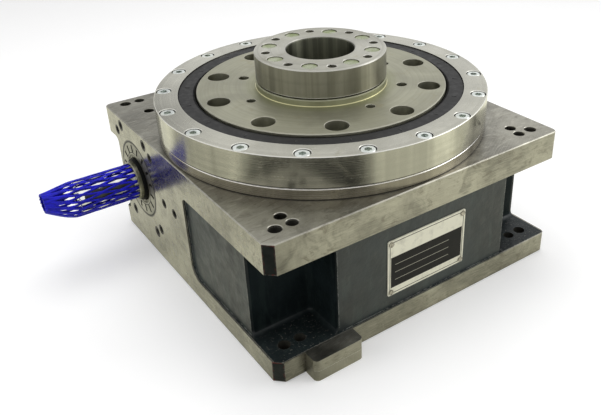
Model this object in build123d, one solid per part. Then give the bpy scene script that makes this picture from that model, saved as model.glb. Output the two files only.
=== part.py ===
from build123d import *
from math import acos, asin, atan, cos, degrees, pi, radians, sin, tan
import os

# Rotary indexing table, in millimetres.
# The table turns about Z, and z = 0 is the machined underside that stands on the machine.
# The input shaft leaves on the -X side, and the nameplate is on the -Y side.
# Radii build up from the bore outwards, heights from the housing upwards, and the housing goes round them.

# Clearances and small edges
OVER = 1.0
FIT = 0.05
THREAD_PLAY = 0.04
THREAD_ROOM = 4.0
POINT_ROOM = 0.4
MOUTH = 0.5
EDGE = 0.8

# M8 socket screw
M8_R = 4.0
M8_HEAD_R = 6.5
M8_HEAD_H = 8.0
M8_CLEAR_R = 4.5
M8_CBORE_R = 7.25
M8_CBORE_DEPTH = 8.6
M8_KEY = 6.0
M8_KEY_DEPTH = 4.0
M8_EDGE = 0.5

# Central column
BORE_R = 32.8
COLUMN_WALL = 23.7
COLUMN_WAIST = 4.5
FLANGE_WIDTH = 19.5
FLANGE_T = 12.0
FLANGE_SCREW_INSET = 9.0
FLANGE_THREAD = 9.6
COLUMN_R = BORE_R + COLUMN_WALL
COLUMN_WAIST_R = COLUMN_R - COLUMN_WAIST
FLANGE_R = COLUMN_R + FLANGE_WIDTH
FLANGE_SCREW_PCR = FLANGE_R - FLANGE_SCREW_INSET

# Output disc, radii
COLUMN_GAP = 1.0
SEAL_SEAT = 3.2
COLLAR_WALL = 2.9
DISC_TAP_MARGIN = 14.6
FOLLOWER_MARGIN = 26.2
ACCESS_R = 10.7
DISC_RIM = 2.9
DISC_LIP = 2.4
DISC_BORE_R = COLUMN_R + COLUMN_GAP
SEAL_SEAT_R = DISC_BORE_R + SEAL_SEAT
COLLAR_R = SEAL_SEAT_R + COLLAR_WALL
DISC_TAP_PCR = COLLAR_R + DISC_TAP_MARGIN
FOLLOWER_PCR = DISC_TAP_PCR + FOLLOWER_MARGIN
RACE_IN_R = FOLLOWER_PCR + ACCESS_R + DISC_RIM
DISC_R = RACE_IN_R + DISC_LIP

# Holes of the disc
FOLLOWER_COUNT = 10
FOLLOWER_ANGLE = 135.0
DISC_TAP_COUNT = 4
DISC_TAP_R = 4.25
DISC_TAP_DEPTH = 20.0
DOWEL_COUNT = 2
DOWEL_ANGLE = 135.0
DOWEL_R = 5.0

# Follower carrier below the disc
CARRIER_T = 20.0
CARRIER_RIM = 19.6
CARRIER_ROOM = 2.5
CARRIER_SCREW_COUNT = 12
CARRIER_SCREW_ANGLE = 15.0
CARRIER_SCREW_MARGIN = 13.5
CARRIER_THREAD = 6.6
CARRIER_R = FOLLOWER_PCR + CARRIER_RIM
CARRIER_SCREW_PCR = DISC_BORE_R + CARRIER_SCREW_MARGIN

# Main crossed roller bearing
RACE_H = 20.0
RACE_IN_T = 8.8
RACE_OUT_T = 14.2
RACE_GAP = 1.2
RACE_FIT = 0.02
CROSS_ROLLER_R = 4.0
CROSS_ROLLER_PLAY = 0.3
CROSS_ROLLER_COUNT = 56
RACE_MEAN_R = RACE_IN_R + RACE_IN_T
RACE_OUT_R = RACE_MEAN_R + RACE_OUT_T

# Rings on top of the housing
SPACER_H = 11.0
SPACER_LEDGE = 10.0
SPACER_STEP = 0.6
RING_H = 28.5
RING_LIP = 3.2
RING_EDGE = 0.6
RING_RIM = 8.4
RING_SCREW_COUNT = 18
RING_SCREW_ANGLE = 10.0
RING_SCREW_MARGIN = 10.6
RING_THREAD = 15.0
RING_SCREW_PCR = RACE_OUT_R + RING_SCREW_MARGIN
RING_R = RING_SCREW_PCR + RING_RIM
RING_LIP_R = RACE_OUT_R - RING_LIP
SPACER_R = RING_R - SPACER_STEP
SPACER_BORE_R = RACE_OUT_R - SPACER_LEDGE

# Seals of the disc
SEAL_LIP = 2.2
SEAL_DROP = 1.0
SEAL_REST = 8.0
COLLAR_SEAL_DEPTH = 9.0
COLLAR_SEAL_DROP = 1.5

# Cam followers
ROLLER_R = 11.0
ROLLER_L = 16.6
ROLLER_EDGE = 0.5
PIN_R = 5.0
STUD_R = 6.0
STUD_FLANGE_R = 8.5
STUD_FLANGE_T = 1.8
STUD_CAP_R = 8.0
STUD_CAP_T = 1.9
STUD_SLOT = 1.6
STUD_SLOT_DEPTH = 2.0
STUD_END = 2.5
END_PLAY = 0.1
NUT_FLAT = 16.0
NUT_H = 8.0

# Camshaft, with the barrel cam that its followers run in
CAM_INSET = 2.4
CAM_RATIO = FOLLOWER_COUNT
CAM_OFFSET = FOLLOWER_ANGLE - 360.0 / FOLLOWER_COUNT - 90.0
CAM_R = 43.0
CAM_L = 86.0
CAM_PLAY = 0.3
CAM_FLARE = 0.75
CAM_FLARE_TURN = 30.0
CAM_ROOM = 3.0
CAM_END_ROOM = 12.0
CAM_RUN_OUT = 3.6
CAM_ROOT_GAP = 2.5
CARRIER_GAP = 6.0
INPUT_R = 16.0
INPUT_L = 58.0
SHAFT_SHOULDER = 4.0
SHAFT_STEP = 7.0
SHAFT_EDGE = 1.0
SHAFT_TAP_DEPTH = 24.0
SHAFT_R = INPUT_R + SHAFT_SHOULDER
SPACER_WALL = 5.0
CAM_Y = FOLLOWER_PCR - CAM_INSET

# Parallel keys
KEY_W = 10.0
KEY_H = 8.0
KEY_SEAT = 5.0
KEY_ROOM = 0.2
KEY_FLAT = 0.01
CAM_KEY_L = 56.0
INPUT_KEY_L = 50.0
INPUT_KEY_INSET = 5.0
INPUT_KEY_TURN = 70.0

# Tapered roller bearings of the camshaft
SHAFT_BORE_R = 40.5
SHOULDER = 5.5
BEARING_W = 18.0
CUP_INSET = 1.5
TAPER = 13.0
TAPER_HALF = 2.0
TAPER_ROLLER_L = 12.5
TAPER_ROLLER_COUNT = 16
BEARING_R = SHAFT_BORE_R - FIT
TAPER_MEAN_R = (SHAFT_R + BEARING_R) / 2

# Slotted rings that set those bearings, and the shaft's seal
ADJUSTER_T = 12.0
SEAL_WIDTH = 6.0
SEAL_PROUD = 4.5
SEAL_TAPER = 1.5
SEAL_DEPTH = 8.0
SLOT_COUNT = 16
SLOT_W = 2.4
SLOT_L = 8.0
SLOT_DEPTH = 2.5
SLOT_INSET = 8.0
ADJUSTER_BORE_R = SHAFT_R + SEAL_WIDTH

# Housing
HOUSING_H = 137.0
SIDE_MARGIN = 1.5
FRONT_MARGIN = 2.5
BACK_MARGIN = 32.0
TOP_T = 28.5
BASE_T = 21.5
WALL = 12.5
WALL_SETBACK = 3.0
NEAR_CHAMFER = 7.5
CORNER_ROUND = 6.0
FOOT_CORNER_CUT = 17.0
NOTCH_L = 64.0
NOTCH_FRONT_W = 45.0
NOTCH_BACK_W = 26.5
NOTCH_ROUND = 6.0
PAD_REACH = 25.0
PANEL_TOP_ROUND = 6.0
PANEL_FOOT_ROUND = 14.0
HOUSING_HALF_X = RING_R + SIDE_MARGIN
HOUSING_FRONT = RING_R + FRONT_MARGIN
HOUSING_BACK = CAM_Y + SHAFT_BORE_R + BACK_MARGIN
NOTCH_X = HOUSING_HALF_X - NOTCH_L
NOTCH_FRONT_Y = HOUSING_FRONT - NOTCH_FRONT_W
NOTCH_BACK_Y = HOUSING_BACK - NOTCH_BACK_W
CEILING = HOUSING_H - TOP_T

# Holes at the four corners
CORNER_HOLE_R = 5.75
CORNER_INSET_X = 18.8
CORNER_INSET_FRONT = 18.5
CORNER_INSET_BACK = 11.6
SECOND_HOLE_R = 5.25
SECOND_HOLE_STEP = 15.5
TOP_TAP_R = 5.2
TOP_TAP_DEPTH = 22.0
TOP_TAP_STEP_X = 12.9
TOP_TAP_STEP_Y = 13.5
CORNER_X = HOUSING_HALF_X - CORNER_INSET_X
CORNER_FRONT_Y = HOUSING_FRONT - CORNER_INSET_FRONT
CORNER_BACK_Y = HOUSING_BACK - CORNER_INSET_BACK

# Tapped holes round the input shaft
SIDE_TAP_R = 3.4
SIDE_TAP_DEPTH = 16.0
INNER_TAP_Y = 29.5
INNER_TAP_Z = 49.4
OUTER_TAP_Y = 42.0
OUTER_TAP_Z = 40.4
BRACKET_NEAR = 63.0
BRACKET_FAR = 86.5
PAD_FRONT_Y = CAM_Y - BRACKET_FAR - PAD_REACH

# Base plate in its pocket
BASE_PLATE_T = 12.0
GASKET_T = 0.5
POCKET_GAP = 0.4
POCKET_INSET = 28.5
POCKET_FRONT_INSET = 29.5
POCKET_BACK_INSET = 27.5
POCKET_ROUND = 7.0
POCKET_LEDGE = 11.0
FLANGE_ROOM = 1.0
BASE_SCREW_INSET = 9.0
BASE_SCREW_STEP = 45.0
BASE_THREAD = 7.6
POCKET_HALF_X = HOUSING_HALF_X - POCKET_INSET
POCKET_FRONT = HOUSING_FRONT - POCKET_FRONT_INSET
POCKET_BACK = HOUSING_BACK - POCKET_BACK_INSET
POCKET_TOP = BASE_PLATE_T + GASKET_T

# Two-layer lug below the nameplate side
LUG_INSET = 27.5
LUG_L = 49.0
LUG_PROUD = 15.5
LUG_ROUND = 4.5
LUG_SEAM = 10.5
LUG_JOINT = 0.1
LUG_FIT = 0.05
LUG_SCREW_INSET = 14.0
LUG_CBORE_DEPTH = 5.0
LUG_HEAD_H = 4.0
LUG_THREAD = 6.5
LUG_X0 = LUG_INSET - HOUSING_HALF_X
LUG_X1 = LUG_X0 + LUG_L

# Heights
DISC_PROUD = 1.0
COLLAR_H = 6.1
HEAD_GAP = 1.2
HEAD_H = 26.8
COLUMN_STEP_DROP = 2.0
COLUMN_STEP_L = 5.0
SPACER_TOP = HOUSING_H + SPACER_H
RING_TOP = SPACER_TOP + RING_H
RACE_TOP = SPACER_TOP + RACE_H
DISC_TOP = RING_TOP + DISC_PROUD
COLLAR_TOP = DISC_TOP + COLLAR_H
HEAD_BOTTOM = COLLAR_TOP + HEAD_GAP
HEAD_TOP = HEAD_BOTTOM + HEAD_H
CARRIER_BOTTOM = SPACER_TOP - CARRIER_T
ROLLER_TOP = CARRIER_BOTTOM - STUD_FLANGE_T - END_PLAY
ROLLER_BOTTOM = ROLLER_TOP - ROLLER_L
CAP_BOTTOM = ROLLER_BOTTOM - END_PLAY - STUD_CAP_T
CAM_Z = CARRIER_BOTTOM - CARRIER_GAP - CAM_R
CAM_ROOT_R = CAP_BOTTOM - CAM_Z - CAM_ROOT_GAP
COLUMN_STEP_Z = CARRIER_BOTTOM - COLUMN_STEP_DROP

# Head of the column
HEAD_STEP = 0.4
HEAD_EDGE = 1.0
HEAD_BORE_EDGE = 1.2
HEAD_SCREW_COUNT = 8
HEAD_SCREW_INSET = 6.5
HEAD_CBORE_R = 7.5
HEAD_CBORE_DEPTH = 15.0
HEAD_THREAD = 18.0
HEAD_TAP_SHIFT = 2.5
HEAD_TAP_R = 4.25
HEAD_TAP_DEPTH = 16.0
HALF_STEP = 22.5
HEAD_R = COLLAR_R - HEAD_STEP
HEAD_SCREW_PCR = COLUMN_R - HEAD_SCREW_INSET
HEAD_TAP_PCR = HEAD_SCREW_PCR + HEAD_TAP_SHIFT

# Nameplate
PLATE_W = 90.0
PLATE_H = 57.5
PLATE_T = 1.0
PLATE_DROP = 1.4
PLATE_ROUND = 1.5
RIVET_R = 1.6
RIVET_L = 5.0
RIVET_HEAD_R = 2.6
RIVET_HEAD_H = 0.8
RIVET_INSET = 3.5
MID_WALL_Z = (BASE_T + CEILING) / 2
PLATE_Z = MID_WALL_Z - PLATE_DROP

# Oil fittings on the back wall
OIL_PLUG_R = 8.0
OIL_PLUG_L = 12.0
OIL_FLANGE_R = 11.0
OIL_FLANGE_T = 2.5
OIL_KEY = 10.0
OIL_KEY_DEPTH = 5.0
OIL_STEP = 30.0
OIL_EDGE = 1.5
SIGHT_R = 13.0
SIGHT_GLASS_R = 5.5
SIGHT_GLASS_L = 9.0
SIGHT_DROP = 3.0

# Net that protects the shaft end
NET_GAP = 0.6
NET_WALL = 1.6
NET_TAIL = 32.0
NET_NECK_R = 13.5
NET_NECK_L = 14.0
NET_TIP_R = 9.0
NET_TIP_WALL = 3.0
NET_R = INPUT_R + NET_GAP + NET_WALL

os.makedirs("parts", exist_ok=True)


def save(shape, node):
    export_step(shape, "parts/" + node + ".step")


def span(x0, x1, y0, y1, z0, z1):
    return Pos(x0, y0, z0) * Box(x1 - x0, y1 - y0, z1 - z0, align=(Align.MIN, Align.MIN, Align.MIN))


def rod(x, y, z, r, h):
    return Pos(x, y, z) * Cylinder(r, h, align=(Align.CENTER, Align.CENTER, Align.MIN))


def rod_x(x, y, z, r, length):
    return Pos(x, y, z) * Rot(0, -90, 0) * Cylinder(r, length, align=(Align.CENTER, Align.CENTER, Align.MAX))


def rod_y(x, y, z, r, length):
    return Pos(x, y, z) * Rot(-90, 0, 0) * Cylinder(r, length, align=(Align.CENTER, Align.CENTER, Align.MIN))


def turned(points, axis=Axis.Z):
    plane = Plane.XZ if axis == Axis.Z else Plane.XY
    return revolve(plane * Polygon(*points, align=None), axis)


def tube(r_in, r_out, z0, z1):
    return turned([(r_in, z0), (r_out, z0), (r_out, z1), (r_in, z1)])


def drilled(r, depth):
    """Cutter for a hole that goes down from z = 0, with a small chamfer at its mouth."""
    return turned([(0, OVER), (r + MOUTH + OVER, OVER), (r, -MOUTH), (r, -depth), (0, -depth)])


def around(count, radius, start=0.0):
    for i in range(count):
        a = radians(start + 360.0 * i / count)
        yield radius * cos(a), radius * sin(a)


def socket_screw(length):
    """M8 socket screw along Z, with its head standing on z = 0 and its shank below."""
    head = rod(0, 0, 0, M8_HEAD_R, M8_HEAD_H)
    head = chamfer(head.faces().sort_by(Axis.Z)[-1].edges(), M8_EDGE)
    hexagon = RegularPolygon(M8_KEY / 2, 6, major_radius=False)
    key = Pos(0, 0, M8_HEAD_H - M8_KEY_DEPTH) * extrude(hexagon, M8_KEY_DEPTH + OVER)
    return head - key + rod(0, 0, -length, M8_R - THREAD_PLAY, length)


def corner_signs():
    return [(-1, -1), (1, -1), (1, 1), (-1, 1)]


def slab(z0, z1, back_cut):
    """Plate of the housing: its near corner is chamfered, and its back corners are cut or rounded."""
    outline = Polygon(
        (NEAR_CHAMFER - HOUSING_HALF_X, -HOUSING_FRONT), (HOUSING_HALF_X, -HOUSING_FRONT),
        (HOUSING_HALF_X, HOUSING_BACK), (-HOUSING_HALF_X, HOUSING_BACK),
        (-HOUSING_HALF_X, NEAR_CHAMFER - HOUSING_FRONT), align=None)
    back = outline.vertices().sort_by(Axis.Y)[-2:]
    outline = chamfer(back, back_cut) if back_cut else fillet(back, CORNER_ROUND)
    right = outline.vertices().sort_by(lambda v: v.X - v.Y)[-1:]
    outline = fillet(right, CORNER_ROUND)
    plate = extrude(Pos(0, 0, z0) * outline, z1 - z0)
    outer = plate.faces().sort_by(Axis.Z)[0 if back_cut else -1]
    return chamfer(outer.edges(), EDGE)


def wall_block():
    """Body between the two plates: pads flush with the plates beside the camshaft, and walls set back."""
    z0 = BASE_T
    z1 = CEILING
    block = span(-HOUSING_HALF_X, HOUSING_HALF_X, -HOUSING_FRONT, HOUSING_BACK, z0, z1)
    reach = HOUSING_HALF_X + OVER
    block -= span(-reach, reach, -HOUSING_FRONT - OVER, WALL_SETBACK - HOUSING_FRONT, z0, z1)
    block -= span(-reach, reach, HOUSING_BACK - WALL_SETBACK, HOUSING_BACK + OVER, z0, z1)
    for sx, sy in corner_signs():
        block -= notch(sx, sy)
    for side in (-1, 1):
        block -= side_panel(side)
    return block


def side_panel(side):
    """Cutter that sets a side wall back, with a small corner above and a large one below."""
    x0, x1 = sorted((side * (HOUSING_HALF_X - WALL_SETBACK), side * (HOUSING_HALF_X + OVER)))
    panel = span(x0, x1, -HOUSING_FRONT - OVER, PAD_FRONT_Y, BASE_T, CEILING)
    foot = panel.edges().filter_by(Axis.X).group_by(Axis.Y)[-1].sort_by(Axis.Z)[0]
    panel = fillet(foot, PANEL_FOOT_ROUND)
    top = panel.edges().filter_by(Axis.X).sort_by(lambda e: e.center().Y + e.center().Z)[-1]
    return fillet(top, PANEL_TOP_ROUND)


def notch(sx, sy):
    """Cutter for a corner, with cast radii where the walls meet each other and the plates."""
    past = NOTCH_ROUND + OVER
    x0, x1 = sorted((sx * NOTCH_X, sx * (HOUSING_HALF_X + past)))
    if sy < 0:
        room = span(x0, x1, -HOUSING_FRONT - past, -NOTCH_FRONT_Y, BASE_T, CEILING)
    else:
        room = span(x0, x1, NOTCH_BACK_Y, HOUSING_BACK + past, BASE_T, CEILING)
    return fillet(room.edges(), NOTCH_ROUND)


def cavity():
    """Room for the column, the carrier and the barrel cam, inside walls of one thickness."""
    half_x = HOUSING_HALF_X - WALL_SETBACK - WALL
    half_notch = NOTCH_X - WALL
    block_y = CAM_Y - SHAFT_BORE_R - WALL
    cam_half = CAM_L / 2 + CAM_END_ROOM
    cam_back = CAM_Y + CAM_R + CAM_ROOM
    wide = span(-half_x, half_x, WALL - NOTCH_FRONT_Y, block_y, BASE_T, CEILING)
    deep = span(-half_notch, half_notch, WALL_SETBACK + WALL - HOUSING_FRONT, block_y, BASE_T, CEILING)
    cam_room = span(-cam_half, cam_half, block_y - OVER, cam_back, BASE_T, CEILING)
    cam_roof = rod_x(-cam_half, CAM_Y, CAM_Z, CAM_R + CAM_ROOM, 2 * cam_half)
    return wide + deep + cam_room + cam_roof + floor_opening(POCKET_TOP - OVER, BASE_T + OVER)


def floor_opening(z0, z1):
    """Opening under the works, through which the cam goes in and which the base plate closes."""
    half = POCKET_HALF_X - POCKET_LEDGE
    block_y = CAM_Y - SHAFT_BORE_R - WALL
    cam_half = CAM_L / 2 + CAM_END_ROOM
    wide = span(-half, half, WALL - NOTCH_FRONT_Y, block_y, z0, z1)
    deep = span(WALL - NOTCH_X, NOTCH_X - WALL, POCKET_LEDGE - POCKET_FRONT, block_y, z0, z1)
    back = span(-cam_half, cam_half, block_y - OVER, POCKET_BACK - POCKET_LEDGE, z0, z1)
    return wide + deep + back + rod(0, 0, z0, FLANGE_R + FLANGE_ROOM, z1 - z0)


def shaft_bores():
    reach = HOUSING_HALF_X + OVER
    seat = ADJUSTER_T + BEARING_W + OVER
    left = rod_x(-reach, CAM_Y, CAM_Z, SHAFT_BORE_R, seat)
    right = rod_x(reach - seat, CAM_Y, CAM_Z, SHAFT_BORE_R, seat)
    through = rod_x(-reach, CAM_Y, CAM_Z, SHAFT_BORE_R - SHOULDER, 2 * reach)
    return left + right + through


def corner_holes():
    """At each corner two holes that go through both plates, and a tapped one in the upper plate."""
    holes = []
    for sx, sy in corner_signs():
        y = -CORNER_FRONT_Y if sy < 0 else CORNER_BACK_Y
        tap_y = sy * (CORNER_FRONT_Y - TOP_TAP_STEP_Y)
        tap_x = sx * (CORNER_X - TOP_TAP_STEP_X)
        through = HOUSING_H + OVER
        holes.append(Pos(sx * CORNER_X, y, HOUSING_H) * drilled(CORNER_HOLE_R, through))
        holes.append(Pos(sx * (CORNER_X - SECOND_HOLE_STEP), y, HOUSING_H) * drilled(SECOND_HOLE_R, through))
        holes.append(Pos(tap_x, tap_y, HOUSING_H) * drilled(TOP_TAP_R, TOP_TAP_DEPTH))
    return holes


def side_holes():
    """Tapped holes for a gearbox or a motor bracket around the input shaft."""
    spots = [(CAM_Y - BRACKET_NEAR, CAM_Z), (CAM_Y - BRACKET_FAR, CAM_Z)]
    for sy, sz in corner_signs():
        spots.append((CAM_Y + sy * INNER_TAP_Y, CAM_Z + sz * INNER_TAP_Z))
        spots.append((CAM_Y + sy * OUTER_TAP_Y, CAM_Z + sz * OUTER_TAP_Z))
    hole = Rot(0, -90, 0) * drilled(SIDE_TAP_R, SIDE_TAP_DEPTH)
    return [Pos(-HOUSING_HALF_X, y, z) * hole for y, z in spots]


def base_screw_places():
    edge = POCKET_HALF_X - BASE_SCREW_INSET
    places = []
    for x in (-edge, -BASE_SCREW_STEP, BASE_SCREW_STEP, edge):
        places.append((x, BASE_SCREW_INSET - POCKET_FRONT))
        places.append((x, POCKET_BACK - BASE_SCREW_INSET))
    for y in (-BASE_SCREW_STEP, BASE_SCREW_STEP):
        places.append((-edge, y))
        places.append((edge, y))
    return places


def pocket_shape(gap, z0, z1):
    block = span(gap - POCKET_HALF_X, POCKET_HALF_X - gap, gap - POCKET_FRONT, POCKET_BACK - gap, z0, z1)
    return fillet(block.edges().filter_by(Axis.Z), POCKET_ROUND - gap)


def lug(z0, z1, y1):
    block = span(LUG_X0, LUG_X1, -HOUSING_FRONT - LUG_PROUD, y1, z0, z1)
    outer = block.edges().filter_by(Axis.Z).sort_by(Axis.Y)[0:2]
    return fillet(outer, LUG_ROUND)


def lug_screw_places():
    return [(x, -HOUSING_FRONT - LUG_PROUD / 2) for x in (LUG_X0 + LUG_SCREW_INSET, LUG_X1 - LUG_SCREW_INSET)]


def oil_places():
    """Filler, drain and sight glass, as x and z on the back wall."""
    edge = OIL_FLANGE_R + OIL_EDGE
    return [(-OIL_STEP, CEILING - edge), (OIL_STEP, BASE_T + edge), (0.0, MID_WALL_Z - SIGHT_DROP)]


def rivet_places():
    half_w = PLATE_W / 2 - RIVET_INSET
    half_h = PLATE_H / 2 - RIVET_INSET
    return [(sx * half_w, PLATE_Z + sz * half_h) for sx, sz in corner_signs()]


def make_housing():
    body = slab(CEILING, HOUSING_H, 0) + slab(0, BASE_T, FOOT_CORNER_CUT) + wall_block()
    body += lug(LUG_SEAM + LUG_JOINT, BASE_T, EDGE + OVER - HOUSING_FRONT)
    body -= cavity()
    body -= rod(0, 0, POCKET_TOP - OVER, FLANGE_R + FLANGE_ROOM, FLANGE_T + 2 * OVER)
    body -= pocket_shape(0.0, -OVER, POCKET_TOP)
    body -= rod(0, 0, CEILING - OVER, CARRIER_R + CARRIER_ROOM, TOP_T + 2 * OVER)
    body -= shaft_bores()
    body -= corner_holes()
    body -= side_holes()
    depth = BASE_THREAD + POINT_ROOM + OVER
    body -= [rod(x, y, POCKET_TOP - OVER, M8_R, depth) for x, y in base_screw_places()]
    depth = LUG_THREAD + POINT_ROOM + OVER
    body -= [rod(x, y, LUG_SEAM - OVER, M8_R, depth) for x, y in lug_screw_places()]
    depth = RING_THREAD + THREAD_ROOM
    for x, y in around(RING_SCREW_COUNT, RING_SCREW_PCR, RING_SCREW_ANGLE):
        body -= rod(x, y, HOUSING_H - depth, M8_R, depth + OVER)
    back = HOUSING_BACK - WALL_SETBACK
    for x, z in oil_places():
        body -= rod_y(x, back - BACK_MARGIN, z, OIL_PLUG_R, BACK_MARGIN + OVER)
    for x, z in rivet_places():
        body -= rod_y(x, WALL_SETBACK - HOUSING_FRONT - OVER, z, RIVET_R + THREAD_PLAY, RIVET_L + OVER)
    save(body, "housing_casting")


def make_base():
    plate = pocket_shape(POCKET_GAP, 0, BASE_PLATE_T) - rod(0, 0, -OVER, BORE_R, BASE_PLATE_T + 2 * OVER)
    flange_spots = list(around(HEAD_SCREW_COUNT, FLANGE_SCREW_PCR, HALF_STEP))
    for x, y in base_screw_places() + flange_spots:
        plate -= rod(x, y, -OVER, M8_CLEAR_R, BASE_PLATE_T + 2 * OVER)
        plate -= rod(x, y, -OVER, M8_CBORE_R, M8_CBORE_DEPTH + OVER)
    save(plate, "base_plate")
    gasket = pocket_shape(POCKET_GAP, BASE_PLATE_T, POCKET_TOP) - floor_opening(0, BASE_T)
    gasket -= [rod(x, y, 0, M8_CLEAR_R, BASE_T) for x, y in base_screw_places()]
    save(gasket, "base_gasket")
    screw = Rot(180, 0, 0) * socket_screw(POCKET_TOP - M8_CBORE_DEPTH + BASE_THREAD)
    save(Compound([Pos(x, y, M8_CBORE_DEPTH) * screw for x, y in base_screw_places()]), "base_plate_screws")
    screw = Rot(180, 0, 0) * socket_screw(BASE_PLATE_T - M8_CBORE_DEPTH + FLANGE_THREAD)
    save(Compound([Pos(x, y, M8_CBORE_DEPTH) * screw for x, y in flange_spots]), "column_base_screws")


def make_lug_pad():
    pad = lug(0, LUG_SEAM, -HOUSING_FRONT - LUG_FIT)
    screws = []
    for x, y in lug_screw_places():
        pad -= rod(x, y, -OVER, M8_CLEAR_R, LUG_SEAM + 2 * OVER)
        pad -= rod(x, y, -OVER, M8_CBORE_R, LUG_CBORE_DEPTH + OVER)
        head = rod(x, y, LUG_CBORE_DEPTH - LUG_HEAD_H, M8_HEAD_R, LUG_HEAD_H)
        shank = rod(x, y, LUG_CBORE_DEPTH, M8_R - THREAD_PLAY, LUG_SEAM - LUG_CBORE_DEPTH + LUG_THREAD)
        screws.append(head + shank)
    save(pad, "lug_pad")
    save(Compound(screws), "lug_pad_screws")


def make_rings():
    seat = RACE_OUT_R + RACE_FIT
    spacer = tube(SPACER_BORE_R, SPACER_R, HOUSING_H, SPACER_TOP)
    ring = turned([
        (seat, SPACER_TOP), (RING_R, SPACER_TOP), (RING_R, RING_TOP - RING_EDGE),
        (RING_R - RING_EDGE, RING_TOP), (RING_LIP_R, RING_TOP), (RING_LIP_R, RACE_TOP), (seat, RACE_TOP)])
    screws = []
    head_z = RING_TOP - M8_CBORE_DEPTH
    screw = socket_screw(head_z - HOUSING_H + RING_THREAD)
    for x, y in around(RING_SCREW_COUNT, RING_SCREW_PCR, RING_SCREW_ANGLE):
        spacer -= rod(x, y, HOUSING_H - OVER, M8_CLEAR_R, SPACER_H + 2 * OVER)
        ring -= rod(x, y, SPACER_TOP - OVER, M8_CLEAR_R, RING_H)
        ring -= Pos(x, y, RING_TOP) * drilled(M8_CBORE_R, M8_CBORE_DEPTH)
        screws.append(Pos(x, y, head_z) * screw)
    save(spacer, "bearing_spacer_ring")
    save(ring, "clamp_ring")
    save(Compound(screws), "clamp_ring_screws")


def make_main_bearing():
    mid = SPACER_TOP + RACE_H / 2
    half = (CROSS_ROLLER_R + RACE_FIT) * 2 ** 0.5
    groove = turned([
        (RACE_MEAN_R - half, mid), (RACE_MEAN_R, mid - half),
        (RACE_MEAN_R + half, mid), (RACE_MEAN_R, mid + half)])
    inner = tube(RACE_IN_R, RACE_MEAN_R - RACE_GAP / 2, SPACER_TOP, RACE_TOP) - groove
    outer = tube(RACE_MEAN_R + RACE_GAP / 2, RACE_OUT_R, SPACER_TOP, RACE_TOP) - groove
    save(inner, "main_bearing_inner_race")
    save(outer, "main_bearing_outer_race")
    rollers = []
    roller_l = 2 * CROSS_ROLLER_R - CROSS_ROLLER_PLAY
    for i in range(CROSS_ROLLER_COUNT):
        lean = 45 if i % 2 else -45
        roller = Rot(0, lean, 0) * Cylinder(CROSS_ROLLER_R, roller_l)
        rollers.append(Rot(0, 0, 360.0 * i / CROSS_ROLLER_COUNT) * Pos(RACE_MEAN_R, 0, mid) * roller)
    save(Compound(rollers), "main_bearing_rollers")


def make_disc_seals():
    top = RING_TOP - SEAL_DROP
    inner = DISC_R + FIT
    low = RACE_TOP + EDGE
    save(turned([
        (inner, low), (DISC_R + SEAL_REST, low), (DISC_R + SEAL_REST, RACE_TOP), (RING_LIP_R, RACE_TOP),
        (RING_LIP_R, top), (inner + SEAL_LIP, top), (inner, top - SEAL_LIP)]), "disc_seal")
    foot = COLLAR_TOP - COLLAR_SEAL_DEPTH
    save(tube(COLUMN_R + FIT, SEAL_SEAT_R, foot, COLLAR_TOP - COLLAR_SEAL_DROP), "collar_seal")


def make_disc():
    seat = COLLAR_TOP - COLLAR_SEAL_DEPTH
    disc = turned([
        (DISC_BORE_R, SPACER_TOP), (RACE_IN_R, SPACER_TOP), (RACE_IN_R, RACE_TOP), (DISC_R, RACE_TOP),
        (DISC_R, DISC_TOP - EDGE), (DISC_R - EDGE, DISC_TOP), (COLLAR_R, DISC_TOP),
        (COLLAR_R, COLLAR_TOP - EDGE), (COLLAR_R - EDGE, COLLAR_TOP), (SEAL_SEAT_R, COLLAR_TOP),
        (SEAL_SEAT_R, seat), (DISC_BORE_R, seat)])
    carrier = tube(DISC_BORE_R, CARRIER_R, CARRIER_BOTTOM, SPACER_TOP)
    studs = []
    nuts = []
    for x, y in around(FOLLOWER_COUNT, FOLLOWER_PCR, FOLLOWER_ANGLE):
        disc -= Pos(x, y, DISC_TOP) * drilled(ACCESS_R, DISC_TOP - SPACER_TOP + OVER)
        carrier -= rod(x, y, CARRIER_BOTTOM - OVER, STUD_R, CARRIER_T + 2 * OVER)
        studs.append(Pos(x, y, 0) * follower_stud())
        nuts.append(Pos(x, y, 0) * follower_nut())
    for x, y in around(DISC_TAP_COUNT, DISC_TAP_PCR):
        disc -= Pos(x, y, DISC_TOP) * drilled(DISC_TAP_R, DISC_TAP_DEPTH)
    for x, y in around(DOWEL_COUNT, DISC_TAP_PCR, DOWEL_ANGLE):
        disc -= Pos(x, y, DISC_TOP) * drilled(DOWEL_R, DISC_TAP_DEPTH)
    screws = []
    head_z = CARRIER_BOTTOM + M8_CBORE_DEPTH
    screw = Rot(180, 0, 0) * socket_screw(CARRIER_T - M8_CBORE_DEPTH + CARRIER_THREAD)
    depth = CARRIER_THREAD + POINT_ROOM + OVER
    for x, y in around(CARRIER_SCREW_COUNT, CARRIER_SCREW_PCR, CARRIER_SCREW_ANGLE):
        carrier -= rod(x, y, CARRIER_BOTTOM - OVER, M8_CLEAR_R, CARRIER_T + 2 * OVER)
        carrier -= rod(x, y, CARRIER_BOTTOM - OVER, M8_CBORE_R, M8_CBORE_DEPTH + OVER)
        disc -= rod(x, y, SPACER_TOP - OVER, M8_R, depth)
        screws.append(Pos(x, y, head_z) * screw)
    save(disc, "output_disc")
    save(carrier, "follower_carrier")
    save(Compound(studs), "follower_studs")
    save(Compound(nuts), "follower_nuts")
    save(Compound(screws), "carrier_screws")


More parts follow.
